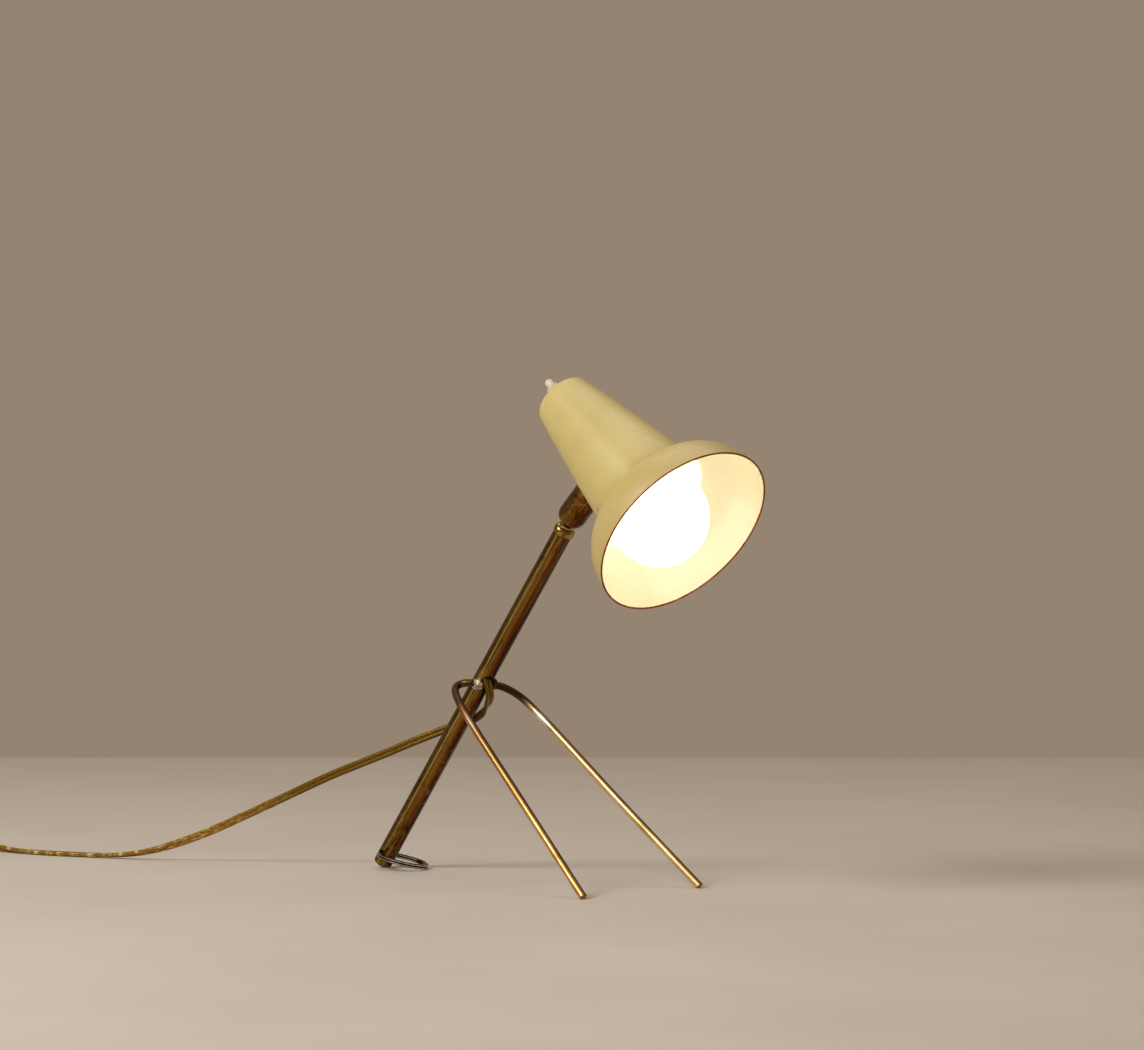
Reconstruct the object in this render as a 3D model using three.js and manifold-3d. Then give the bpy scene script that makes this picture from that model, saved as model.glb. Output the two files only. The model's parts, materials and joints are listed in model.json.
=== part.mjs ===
// A small desk lamp on three points: a leaning brass tube, two brass rod legs brazed to its sides,
// a ball swivel, and an enamelled aluminium shade that holds a push-button lamp holder and a bulb.
//
// Millimetres, +Z up, +X the way the shade points. The lamp is drawn from the point where the
// foot of the stem meets the table, and moved at the end so that the origin is the centre of its base.

import * as THREE from 'three';
import { mergeVertices } from 'three/addons/utils/BufferGeometryUtils.js';
import Module from 'manifold-3d';

const wasm = await Module();
wasm.setup();

// ---------------------------------------------------------------- driving dimensions

const GAP = 0.3; // between touching pieces
const WORN = 0.7; // how far the three feet are worn flat

const STEM_R = 6; // 12 mm tube
const STEM_BORE = 5;
const STEM_LEAN = THREE.MathUtils.degToRad(38.56);
const BALL_HEIGHT = 288.3; // along the stem, from its foot to the centre of the ball
const STEM_TOP = BALL_HEIGHT - 14.9;

const LEG_R = 2.4; // 4.8 mm rod
const LEG_HEIGHT = 122; // where the legs meet the stem, above the table

const CORD_W = 5.5; // flat twin lead
const CORD_T = 2.8;

const BALL_R = 6;
const CUP_R = 9;
const CUP_RISE = THREE.MathUtils.degToRad(43.1); // of the cup's axis, above level
const CUP_MOUTH = THREE.MathUtils.degToRad(58); // half angle of the opening that the neck moves in

const SHADE_DROP = THREE.MathUtils.degToRad(37.7); // of the shade's axis, below level
const SHADE_LENGTH = 133.1;
const SHADE_WALL = 0.9;
const SHADE_END = new THREE.Vector3(165.6, 0, 299.4); // centre of the shade's small end
const RIM_R = 59;
const SHADE_HOLE = 5.4;

const HOLDER_DROP = THREE.MathUtils.degToRad(40.6); // the holder leans in the shade by its hole's play
const BULB_R = 30; // 60 mm globe
const BULB_CENTRE = 111.9; // along the holder, from the shade's end
const BULB_NECK = 59.6;

const RING_R = 15.6; // centreline of the hanging ring
const RING_HOLE_UP = 7; // along the stem, from its foot
const RING_HOLE_R = 3.3;
const RING_DROP = THREE.MathUtils.degToRad(11.3); // of the ring as it rests on the table
const RING_ROLL = THREE.MathUtils.degToRad(-8);

const COIL_X = -295.8; // where the spare cord is coiled
const COIL_Y = -156.3;
const COIL_IN = 24.8;
const COIL_OUT = 38.2;
const COIL_H = 11.4;
const TIE_T = 0.6;
const PLUG_X = -246; // where the plug lies
const PLUG_Z = 6.5;
const PLUG_LENGTH = 25;
const PLUG_H = 12.6;

// ---------------------------------------------------------------- materials

const finish = (color, roughness, metalness) =>
  new THREE.MeshStandardMaterial({ color, roughness, metalness });

const agedBrass = () => finish('#7a5a26', 0.42, 1);
const legBrass = () => finish('#a77a44', 0.36, 1);
const newBrass = () => finish('#c6a254', 0.3, 1);
const solder = () => finish('#b5ad9c', 0.45, 1);
const steel = () => finish('#a9a8a4', 0.28, 1);
const enamel = () => finish('#d9cb8a', 0.5, 0);
const whitePlastic = () => finish('#ded4c0', 0.45, 0);
const phenolic = () => finish('#3a2a20', 0.5, 0);
const porcelain = () => finish('#ece8de', 0.3, 0);
const frostedGlass = () => finish('#fff6df', 0.6, 0);
const clearGoldVinyl = () => finish('#b09046', 0.35, 0);
const blackGlass = () => finish('#17161c', 0.2, 0);

// ---------------------------------------------------------------- shaping helpers

// A closed body turned about Z from [radius, height] points, given anticlockwise.
function turned(profile, sides) {
  const points = profile.map(([r, z]) => new THREE.Vector2(r, z));
  return new THREE.LatheGeometry(points, sides).rotateX(Math.PI / 2);
}

// The same for a body with a hole down its middle: the profile closes on itself.
function turnedRing(profile, sides) {
  return turned([...profile, profile[0]], sides);
}

function arc(r0, z0, radius, from, to, steps) {
  const points = [];
  for (let i = 0; i <= steps; i += 1) {
    const angle = THREE.MathUtils.degToRad(from + ((to - from) * i) / steps);
    points.push([r0 + radius * Math.cos(angle), z0 + radius * Math.sin(angle)]);
  }
  return points;
}

function rod(radius, low, high, sides) {
  return turned([[0, low], [radius, low], [radius, high], [0, high]], sides);
}

function roundSection(radius, sides) {
  const shape = new THREE.Shape();
  for (let i = 0; i < sides; i += 1) {
    const angle = (2 * Math.PI * i) / sides;
    const x = radius * Math.cos(angle);
    const y = radius * Math.sin(angle);
    if (i === 0) shape.moveTo(x, y);
    else shape.lineTo(x, y);
  }
  return shape;
}

function along(curve, section, steps) {
  return new THREE.ExtrudeGeometry(section, { steps, extrudePath: curve, bevelEnabled: false });
}

function curveThrough(points) {
  return new THREE.CatmullRomCurve3(points.map((p) => new THREE.Vector3(...p)));
}

function hexNut(acrossFlats, bore, low, high) {
  const outline = new THREE.Shape();
  const corner = acrossFlats / Math.sqrt(3);
  for (let i = 0; i < 6; i += 1) {
    const angle = (Math.PI * i) / 3;
    if (i === 0) outline.moveTo(corner, 0);
    else outline.lineTo(corner * Math.cos(angle), corner * Math.sin(angle));
  }
  outline.holes.push(roundSection(bore, 20));
  const nut = new THREE.ExtrudeGeometry(outline, { depth: high - low, bevelEnabled: false });
  return nut.translate(0, 0, low);
}

function solidOf(geometry) {
  const bare = geometry.clone();
  bare.deleteAttribute('normal');
  bare.deleteAttribute('uv');
  const merged = mergeVertices(bare, 1e-4);
  return new wasm.Manifold(
    new wasm.Mesh({
      numProp: 3,
      vertProperties: new Float32Array(merged.attributes.position.array),
      triVerts: new Uint32Array(merged.index.array),
    }),
  );
}

function geometryOf(solid) {
  const mesh = solid.getMesh();
  const geometry = new THREE.BufferGeometry();
  geometry.setAttribute('position', new THREE.BufferAttribute(mesh.vertProperties, 3));
  geometry.setIndex(new THREE.BufferAttribute(mesh.triVerts, 1));
  geometry.computeVertexNormals();
  return geometry;
}

function cut(geometry, ...tools) {
  return geometryOf(tools.reduce((left, tool) => left.subtract(solidOf(tool)), solidOf(geometry)));
}

// ---------------------------------------------------------------- frames of the sub-assemblies

const lamp = new THREE.Group();

// A group whose Z axis points along a rise above level, in the lamp's middle plane.
function frameAt(origin, rise) {
  const group = new THREE.Group();
  group.position.copy(origin);
  group.rotation.y = Math.PI / 2 - rise;
  group.updateMatrix();
  lamp.add(group);
  return group;
}

const stemDir = new THREE.Vector3(Math.sin(STEM_LEAN), 0, Math.cos(STEM_LEAN));
const stemFoot = new THREE.Vector3(-STEM_R * stemDir.z, 0, STEM_R * stemDir.x - WORN);
const ballCentre = stemFoot.clone().addScaledVector(stemDir, BALL_HEIGHT);

const stemFrame = frameAt(stemFoot, Math.PI / 2 - STEM_LEAN);
const studFrame = frameAt(ballCentre, Math.PI / 2 - STEM_LEAN);
const cupFrame = frameAt(ballCentre, CUP_RISE);
const shadeFrame = frameAt(SHADE_END, -SHADE_DROP);
const holderFrame = frameAt(SHADE_END, -HOLDER_DROP);

function add(group, name, geometry, material) {
  const mesh = new THREE.Mesh(geometry, material);
  mesh.name = name;
  group.add(mesh);
}

// A geometry made in one frame, as seen from another.
function seenFrom(geometry, home, viewer) {
  const change = viewer.matrix.clone().invert().multiply(home.matrix);
  return geometry.clone().applyMatrix4(change);
}

// Everything below the table top.
const floorCutter = new THREE.BoxGeometry(700, 300, 40).translate(100, 0, -20);

// ---------------------------------------------------------------- stem

const CORD_HOLE_R = 3.5;
const HALF_DRILL = 4.5; // how far each way the cord's hole is drilled from the wall
const cordExit = new THREE.Vector3(98.4, -1.9, 124.0);
const exitDir = new THREE.Vector3(0.93, -0.3, -0.25).normalize();

function cordExitCutter() {
  const turn = new THREE.Quaternion().setFromUnitVectors(new THREE.Vector3(0, 0, 1), exitDir);
  const hole = rod(CORD_HOLE_R, -HALF_DRILL, HALF_DRILL, 24).applyQuaternion(turn);
  return hole.translate(cordExit.x, cordExit.y, cordExit.z);
}

function ringHoleCutter() {
  const through = STEM_R + 3;
  return rod(RING_HOLE_R, -through, through, 24).rotateX(Math.PI / 2).translate(0, 0, RING_HOLE_UP);
}

const stemTube = turnedRing(
  [[STEM_BORE, 0], [STEM_R, 0], [STEM_R, STEM_TOP], [STEM_BORE, STEM_TOP]],
  32,
);
const world = new THREE.Group();
add(
  stemFrame,
  'stem_tube',
  cut(
    stemTube,
    ringHoleCutter(),
    seenFrom(cordExitCutter(), world, stemFrame),
    seenFrom(floorCutter, world, stemFrame),
  ),
  agedBrass(),
);

// The ferrule on the stem's top: a spigot in the tube, and a domed shoulder hollowed for the cup.
const FERRULE_R = 6.65;
const SPIGOT_R = STEM_BORE - GAP;
const SPIGOT_LOW = -26;
const FERRULE_BORE = 2.9;
add(
  studFrame,
  'stem_ferrule',
  turnedRing(
    [
      [FERRULE_BORE, SPIGOT_LOW],
      [SPIGOT_R, SPIGOT_LOW],
      [SPIGOT_R, -14.6],
      [FERRULE_R - 0.4, -14.6],
      [FERRULE_R, -14.1],
      [FERRULE_R, -12.4],
      ...arc(3.4, -12.4, 3.25, 12, 62, 4),
      ...arc(0, 0, CUP_R + 0.5, -58, -72, 2),
    ],
    32,
  ),
  agedBrass(),
);

const STUD_R = FERRULE_BORE - GAP;
const STUD_LOW = -31;
add(
  studFrame,
  'ball_stud',
  turnedRing(
    [
      [1.5, STUD_LOW],
      [STUD_R, STUD_LOW],
      [STUD_R, -6.2],
      ...arc(0, 0, BALL_R, -64, 70, 10),
      [1.5, 5.2],
    ],
    26,
  ),
  steel(),
);

function washer(bore, radius, low, high) {
  return turnedRing([[bore, low], [radius, low], [radius, high], [bore, high]], 24);
}
add(studFrame, 'stud_washer', washer(FERRULE_BORE, 4.6, SPIGOT_LOW - 1.1, SPIGOT_LOW - GAP), steel());
add(studFrame, 'stud_nut', hexNut(7.6, FERRULE_BORE, -30.2, SPIGOT_LOW - 1.4), newBrass());

// The lead inside the stem, and its stretch through the ball.
add(
  stemFrame,
  'stem_lead',
  rod(2.2, (LEG_HEIGHT + 12) / stemDir.z, BALL_HEIGHT - 32, 10),
  clearGoldVinyl(),
);
add(studFrame, 'ball_lead', rod(1.1, STUD_LOW, 4.6, 8), clearGoldVinyl());

// ---------------------------------------------------------------- legs

// One leg's centreline, on the left (+Y) side: back along the side of the stem, round a tight
// bend, over a rounded shoulder, and straight down to its foot.
const LEG_ROUTE = [
  [92.0, 7.9, LEG_HEIGHT + 0.5],
  [88.6, 8.5, LEG_HEIGHT + 0.5],
  [85.4, 9.7, LEG_HEIGHT + 0.3],
  [83.3, 12.4, 121.3],
  [84.6, 16.2, 119.4],
  [89.1, 20.4, 116.9],
  [98.9, 25.9, 111.0],
  [113.9, 30.0, 99.7],
  [174.7, 39.5, 50.4],
  [235.6, 49.1, 1.0],
];
const BRAZE = new THREE.Vector3(93.9, 6.6, LEG_HEIGHT - 0.2);
const BRAZE_SIZE = [4.3, 3.1, 3.8];

function legGeometry(side, grow) {
  const points = LEG_ROUTE.map(([x, y, z]) => [x, side * y, z]);
  points[0][0] += grow;
  return along(curveThrough(points), roundSection(LEG_R + grow, 12), 40);
}

const stemClearance = seenFrom(rod(STEM_R + GAP, 0, STEM_TOP, 40), stemFrame, world);

function brazeGeometry(side) {
  const blob = new THREE.SphereGeometry(1, 18, 10).scale(...BRAZE_SIZE);
  return blob.translate(BRAZE.x, side * BRAZE.y, BRAZE.z);
}

for (const [side, name] of [[1, 'left'], [-1, 'right']]) {
  add(
    lamp,
    `leg_${name}`,
    cut(legGeometry(side, 0), stemClearance, floorCutter),
    legBrass(),
  );
  add(
    lamp,
    `braze_${name}`,
    cut(brazeGeometry(side), stemClearance, legGeometry(side, GAP)),
    solder(),
  );
}

// ---------------------------------------------------------------- hanging ring

const ringHole = stemFoot.clone().addScaledVector(stemDir, RING_HOLE_UP);
const ringFrame = frameAt(ringHole, -RING_DROP);

// The ring passes through its frame's origin, near the plane of the frame's Z and Y axes. Its
// section is a pair of wires, 2.2 mm thick and 3 mm broad together.
function ringGeometry() {
  const section = [];
  for (let i = 0; i < 8; i += 1) {
    const angle = (Math.PI * (i + 0.5)) / 4;
    section.push([RING_R + 1.19 * Math.cos(angle), 1.62 * Math.sin(angle)]);
  }
  return turnedRing(section, 36).rotateY(Math.PI / 2).translate(0, 0, RING_R).rotateZ(RING_ROLL);
}
add(ringFrame, 'hanging_ring', ringGeometry(), steel());

// ---------------------------------------------------------------- swivel cup

const WALL_AT = 22.2; // the shade's wall, from the ball's centre along the cup's axis
const CUP_BORE = 6.9;
const NIPPLE_R = 3.2;
const NIPPLE_HOLE_R = 3.6;
const BALL_SEAT = BALL_R + 0.35;

// The shade's outline, as [radius, distance from its small end].
function shadeOutline(grow) {
  const cone = new THREE.QuadraticBezierCurve(
    new THREE.Vector2(18.8 + grow, 4.2),
    new THREE.Vector2(28.1 + grow, 51.4),
    new THREE.Vector2(35.0 + grow, 99.1),
  );
  const bell = new THREE.CubicBezierCurve(
    new THREE.Vector2(35.4 + grow, 101.1),
    new THREE.Vector2(46 + grow, 103.6 - grow),
    new THREE.Vector2(57.5 + grow, 111.6 - grow),
    new THREE.Vector2(RIM_R + grow, SHADE_LENGTH),
  );
  return [
    [9.5, -grow],
    [13.5 + 0.2 * grow, 0.9 - 0.97 * grow],
    [16.2 + 0.5 * grow, 1.8 - 0.85 * grow],
    [18.0 + 0.8 * grow, 2.8 - 0.5 * grow],
    ...cone.getPoints(4).map((p) => [p.x, p.y]),
    ...bell.getPoints(8).map((p) => [p.x, p.y]),
  ];
}

const shadeEnvelope = turned(
  [[0, -GAP], ...shadeOutline(GAP), [0, SHADE_LENGTH]],
  96,
);

const mouth = THREE.MathUtils.radToDeg(CUP_MOUTH) - 90;
add(
  cupFrame,
  'swivel_cup',
  cut(
    turnedRing(
      [
        ...arc(0, 0, CUP_R, mouth, 0, 6),
        [CUP_R, WALL_AT + 6],
        [CUP_BORE, WALL_AT + 6],
        [CUP_BORE, 0],
        ...arc(0, 0, BALL_SEAT, 0, mouth, 6),
      ],
      32,
    ),
    seenFrom(shadeEnvelope, shadeFrame, cupFrame),
  ),
  agedBrass(),
);

const seatLow = 1.6;
const seatHigh = 4.9;
const seatAngle = (height) => THREE.MathUtils.radToDeg(Math.asin(height / BALL_SEAT));
add(
  cupFrame,
  'ball_seat',
  turnedRing(
    [
      [CUP_BORE - GAP, seatLow],
      [CUP_BORE - GAP, seatHigh],
      ...arc(0, 0, BALL_SEAT, seatAngle(seatHigh), seatAngle(seatLow), 5),
    ],
    32,
  ),
  newBrass(),
);
add(
  cupFrame,
  'seat_spring',
  turnedRing([[3.9, 5.3], [6.5, 5.9], [6.5, 6.7], [3.9, 6.1]], 28),
  steel(),
);
add(
  cupFrame,
  'cup_nipple',
  turnedRing(
    [[2, 7.1], [CUP_BORE - GAP, 7.1], [CUP_BORE - GAP, 11], [NIPPLE_R, 11], [NIPPLE_R, 27.2], [2, 27.2]],
    32,
  ),
  newBrass(),
);
add(
  cupFrame,
  'nipple_washer',
  washer(3.5, 5.6, 24.6, 25.2),
  steel(),
);
add(cupFrame, 'nipple_locknut', hexNut(9.4, NIPPLE_HOLE_R, 25.5, 27.0), newBrass());

// ---------------------------------------------------------------- shade

function shadeGeometry() {
  const outside = [[SHADE_HOLE, 0], ...shadeOutline(0)];
  const inside = [[SHADE_HOLE, SHADE_WALL], ...shadeOutline(-SHADE_WALL)].reverse();
  const nippleHole = seenFrom(rod(NIPPLE_HOLE_R, WALL_AT - 4, WALL_AT + 5, 24), cupFrame, shadeFrame);
  return cut(turnedRing([...outside, ...inside], 48), nippleHole);
}
add(shadeFrame, 'shade', shadeGeometry(), enamel());

// ---------------------------------------------------------------- switch

const BUSHING_R = 4.6;
const BUSHING_OUT = 10.9;
const BUTTON_R = 2.6;
const BUTTON_OUT = 17.8;
const BUTTON_TRAVEL = 3;

add(
  holderFrame,
  'switch_button',
  turned(
    [
      [0, -BUTTON_OUT],
      [BUTTON_R - 0.8, -BUTTON_OUT],
      [BUTTON_R, -BUTTON_OUT + 0.8],
      [BUTTON_R, 3.6],
      [4.2, 3.6],
      [4.2, 5],
      [0, 5],
    ],
    24,
  ),
  whitePlastic(),
);
add(
  holderFrame,
  'switch_nut',
  turnedRing(
    [[BUSHING_R + GAP, -3.8], [7.6, -3.8], [8.2, -3.2], [8.2, -0.9], [BUSHING_R + GAP, -0.9]],
    24,
  ),
  whitePlastic(),
);
add(
  holderFrame,
  'switch_body',
  turnedRing(
    [
      [BUTTON_R + GAP, -BUSHING_OUT - 1.2],
      [3.3, -BUSHING_OUT - 1.2],
      [BUSHING_R, -BUSHING_OUT],
      [BUSHING_R, 2.8],
      [8.5, 2.8],
      [8.5, 15],
      [1.2, 15],
      [1.2, 5.3 + BUTTON_TRAVEL],
      [4.6, 5.3 + BUTTON_TRAVEL],
      [4.6, 3.2],
      [BUTTON_R + GAP, 3.2],
    ],
    28,
  ),
  whitePlastic(),
);

// ---------------------------------------------------------------- lamp holder

const HOLDER_R = 16.4;
const SHELL_R = 13.9;
const CAP_TOP = 28.6;
const LEAD_ENTRY_R = 14.6; // where the lead goes through the cap's side
const LEAD_ENTRY_Z = 20.5;
const SOCKET_TOP = 57.6;

add(
  holderFrame,
  'holder_cap',
  cut(
    turnedRing(
      [
        [9.9, 3.2],
        [13.2, 8.5],
        [15.7, 17],
        [HOLDER_R, 24],
        [HOLDER_R, CAP_TOP],
        [HOLDER_R - 1.7, CAP_TOP],
        [HOLDER_R - 1.7, 24.4],
        [14.1, 17.5],
        [11.7, 9.5],
        [8.9, 4.6],
      ],
      32,
    ),
    rod(3, 0, 20, 16).rotateY(Math.PI / 2).translate(0, 0, LEAD_ENTRY_Z + 1),
  ),
  phenolic(),
);
add(
  holderFrame,
  'terminal_block',
  turned([[0, 21.6], [13.9, 21.6], [13.9, 32.2], [0, 32.2]], 32),
  porcelain(),
);
add(
  holderFrame,
  'socket_body',
  turnedRing(
    [
      [14.3, CAP_TOP + GAP],
      [HOLDER_R, CAP_TOP + GAP],
      [HOLDER_R, SOCKET_TOP - 1],
      [HOLDER_R - 0.8, SOCKET_TOP],
      [14.3, SOCKET_TOP],
    ],
    36,
  ),
  phenolic(),
);
add(
  holderFrame,
  'screw_shell',
  turnedRing([[13.55, 34], [SHELL_R, 34], [SHELL_R, SOCKET_TOP - 1.5], [13.55, SOCKET_TOP - 1.5]], 36),
  newBrass(),
);
add(
  holderFrame,
  'centre_contact',
  turned([[0, 32.5], [4.2, 32.5], [3.4, 33.8], [1.8, 35], [0, 35.2]], 20),
  newBrass(),
);

// ---------------------------------------------------------------- bulb

const BASE_R = 13.0;

function screwBase() {
  const ridges = [];
  const pitch = 3.63;
  for (let i = 0; i < 5; i += 1) {
    const at = 41.6 + pitch * i;
    ridges.push([BASE_R - 0.7, at - pitch / 2], [BASE_R + 0.15, at]);
  }
  return turnedRing(
    [
      [7.4, 39],
      [9.6, 39],
      [BASE_R - 0.7, 39.6],
      ...ridges,
      [BASE_R - 0.2, BULB_NECK],
      [BASE_R - 0.8, BULB_NECK],
      [BASE_R - 1.3, 41.2],
      [7.4, 40],
    ],
    28,
  );
}
add(holderFrame, 'bulb_base', screwBase(), steel());
add(
  holderFrame,
  'bulb_insulator',
  turnedRing([[4.3, 36.5], [7.1, 38.8], [7.1, 40.2], [4.3, 40.2]], 28),
  blackGlass(),
);
add(
  holderFrame,
  'bulb_contact',
  turned([[0, 35.5], [2.8, 35.9], [4, 36.7], [4, 37.8], [0, 37.8]], 20),
  solder(),
);

function globeOutline(inset) {
  const cheek = new THREE.CubicBezierCurve(
    new THREE.Vector2(14.2 - inset, BULB_NECK + 1.6),
    new THREE.Vector2(17.0 - inset, BULB_NECK + 14),
    new THREE.Vector2(24.5 - inset, BULB_NECK + 24),
    new THREE.Vector2((BULB_R - inset) * Math.cos(0.35), BULB_CENTRE - BULB_R * Math.sin(0.35)),
  );
  return [
    [13.2 - inset, BULB_NECK + GAP],
    ...cheek.getPoints(5).map((p) => [p.x, p.y]),
    ...arc(0, BULB_CENTRE, BULB_R - inset, -12, 90, 9),
  ];
}
const GLASS = 0.9;
add(
  holderFrame,
  'bulb_globe',
  turned([...globeOutline(0), ...globeOutline(GLASS).reverse(), globeOutline(0)[0]], 30),
  frostedGlass(),
);

// The lead from the ball, through the cup's nipple and along the shade's wall, into the holder.
function pointIn(frame, x, z) {
  return new THREE.Vector3(x, 0, z).applyMatrix4(frame.matrix).toArray();
}
add(
  lamp,
  'holder_lead',
  along(
    curveThrough([
      pointIn(cupFrame, 0, 6.8),
      pointIn(cupFrame, 0, 17),
      pointIn(cupFrame, 0, 26.4),
      pointIn(cupFrame, -1.3, 28.3),
      pointIn(cupFrame, -4.5, 28.5),
      pointIn(holderFrame, 18.4, 38),
      pointIn(holderFrame, 18.0, 28),
      pointIn(holderFrame, 17.2, 23.5),
      pointIn(holderFrame, LEAD_ENTRY_R, LEAD_ENTRY_Z),
      pointIn(holderFrame, LEAD_ENTRY_R - 2.6, LEAD_ENTRY_Z - 1),
    ]),
    roundSection(1.0, 8),
    30,
  ),
  clearGoldVinyl(),
);

// ---------------------------------------------------------------- cord

const CORD_LOW = CORD_W / 2 + 0.1; // centre of the cord where it lies on the table

// The free stretch: out of the stem, round its left side, down to the table and away behind.
const CORD_ROUTE = [
  [99.4, -1.3, 122.6],
  [99.0, -0.6, 118.0],
  [97.0, 1.4, 114.4],
  [92.8, 4.6, 110.8],
  [86.6, 7.6, 106.2],
  [79.4, 9.6, 101.8],
  [71.6, 10.2, 98.4],
  [62.4, 8.2, 95.2],
  [51.5, 3.5, 91.2],
  [31.5, -6.0, 82.8],
  [12.9, -13.6, 74.8],
  [-6.0, -21.3, 67.0],
  [-25.1, -28.8, 59.0],
  [-58.2, -41.8, 43.4],
  [-79.0, -50.2, 33.6],
  [-107.4, -61.4, 21.2],
  [-128.7, -69.6, 13.9],
  [-151.0, -78.6, 7.4],
  [-172.0, -87.2, 3.6],
  [-193.0, -96.2, CORD_LOW],
  [-214.0, -104.4, CORD_LOW],
  [-236.0, -110.6, CORD_LOW],
  [-258.0, -113.8, CORD_LOW],
  [-278.0, -115.0, CORD_LOW],
  [-295.8, -115.0, CORD_LOW],
];
const flatSection = () => {
  const shape = new THREE.Shape();
  shape.absellipse(0, 0, CORD_T / 2 + 0.4, CORD_W / 2, 0, 2 * Math.PI);
  return new THREE.Shape(shape.getPoints(3));
};
add(lamp, 'cord_lead', along(curveThrough(CORD_ROUTE), flatSection(), 76), clearGoldVinyl());

const coilLow = TIE_T + GAP;
add(
  lamp,
  'cord_coil',
  turnedRing(
    [
      [COIL_IN, coilLow],
      [COIL_OUT, coilLow],
      [COIL_OUT, coilLow + COIL_H],
      [COIL_IN, coilLow + COIL_H],
    ],
    36,
  ).translate(COIL_X, COIL_Y, 0),
  clearGoldVinyl(),
);

function tieGeometry() {
  const band = new THREE.Shape();
  const across = (COIL_OUT - COIL_IN) / 2 + 2 * GAP;
  const up = COIL_H / 2 + GAP;
  band.moveTo(-across - TIE_T, -up - TIE_T);
  band.lineTo(across + TIE_T, -up - TIE_T);
  band.lineTo(across + TIE_T, up + TIE_T);
  band.lineTo(-across - TIE_T, up + TIE_T);
  const inner = new THREE.Path();
  inner.moveTo(-across, -up);
  inner.lineTo(-across, up);
  inner.lineTo(across, up);
  inner.lineTo(across, -up);
  band.holes.push(inner);
  const width = 5;
  const loop = new THREE.ExtrudeGeometry(band, { depth: width, bevelEnabled: false });
  loop.translate(0, 0, -width / 2).rotateX(Math.PI / 2);
  return loop.translate(COIL_X + (COIL_IN + COIL_OUT) / 2, COIL_Y, coilLow + COIL_H / 2);
}
add(lamp, 'cord_tie', tieGeometry(), whitePlastic());

// The cord's end leaves the top of the coil and runs into the plug that lies beside it.
const TAIL_Y = COIL_Y - COIL_OUT - GAP - CORD_W / 2 - 0.3;
add(
  lamp,
  'cord_tail',
  along(
    curveThrough([
      [COIL_X + 6, TAIL_Y, 8.8],
      [COIL_X + 20, TAIL_Y, 8.3],
      [COIL_X + 34, TAIL_Y, 7.2],
      [PLUG_X - GAP, TAIL_Y, PLUG_Z],
    ]),
    flatSection(),
    6,
  ),
  clearGoldVinyl(),
);

function plugGeometry() {
  const outline = new THREE.Shape();
  outline.moveTo(0, -4);
  outline.lineTo(9, -6.5);
  outline.lineTo(PLUG_LENGTH, -10.5);
  outline.lineTo(PLUG_LENGTH, 10.5);
  outline.lineTo(9, 6.5);
  outline.lineTo(0, 4);
  const body = new THREE.ExtrudeGeometry(outline, { depth: PLUG_H, bevelEnabled: false });
  return body.translate(PLUG_X, TAIL_Y, PLUG_Z - PLUG_H / 2);
}
add(lamp, 'plug_body', plugGeometry(), clearGoldVinyl());

for (const [side, name] of [[1, 'left'], [-1, 'right']]) {
  const blade = new THREE.BoxGeometry(17.5, 1.5, 6.3);
  blade.translate(PLUG_X + PLUG_LENGTH + GAP + 8.75, TAIL_Y + side * 6.35, PLUG_Z);
  add(lamp, `plug_blade_${name}`, blade, newBrass());
}

// ---------------------------------------------------------------- origin at the centre of the base

const onCord = /^(cord|plug)_/;
const own = new THREE.Box3();
lamp.updateMatrixWorld(true);
lamp.traverse((piece) => {
  if (piece.isMesh && !onCord.test(piece.name)) own.expandByObject(piece, true);
});
lamp.position.x = -(own.min.x + own.max.x) / 2;

export default lamp;
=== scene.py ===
"""A small brass tripod desk lamp with an enamelled shade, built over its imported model.

Sizes are in millimetres, and MM turns them into metres.
"""

import json
import math
from functools import partialmethod

import bmesh
import bpy
import numpy as np
from mathutils import Matrix, Vector, noise

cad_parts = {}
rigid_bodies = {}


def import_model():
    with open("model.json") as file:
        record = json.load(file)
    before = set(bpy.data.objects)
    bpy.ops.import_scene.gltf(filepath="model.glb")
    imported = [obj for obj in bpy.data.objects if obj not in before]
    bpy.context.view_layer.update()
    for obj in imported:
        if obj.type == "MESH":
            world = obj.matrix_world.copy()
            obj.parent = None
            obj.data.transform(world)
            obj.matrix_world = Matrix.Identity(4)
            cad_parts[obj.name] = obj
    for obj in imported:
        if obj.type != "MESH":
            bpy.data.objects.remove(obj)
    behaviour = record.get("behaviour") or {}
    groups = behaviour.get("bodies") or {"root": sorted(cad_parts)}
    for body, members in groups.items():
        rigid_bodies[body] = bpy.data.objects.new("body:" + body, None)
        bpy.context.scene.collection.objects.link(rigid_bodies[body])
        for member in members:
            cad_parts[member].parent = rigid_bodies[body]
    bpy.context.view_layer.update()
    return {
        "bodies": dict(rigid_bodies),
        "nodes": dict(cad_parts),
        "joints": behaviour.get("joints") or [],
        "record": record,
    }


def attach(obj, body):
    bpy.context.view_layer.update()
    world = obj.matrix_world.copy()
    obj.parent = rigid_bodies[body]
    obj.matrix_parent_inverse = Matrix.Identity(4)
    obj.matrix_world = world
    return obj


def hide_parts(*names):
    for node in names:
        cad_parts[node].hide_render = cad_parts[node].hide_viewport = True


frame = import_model()
nodes = frame["nodes"]
joints = {j["name"]: j for j in frame["joints"]}
mounts = {m["name"]: m for m in frame["record"]["mounts"]}
scene = bpy.context.scene
MM = 0.001

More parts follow.
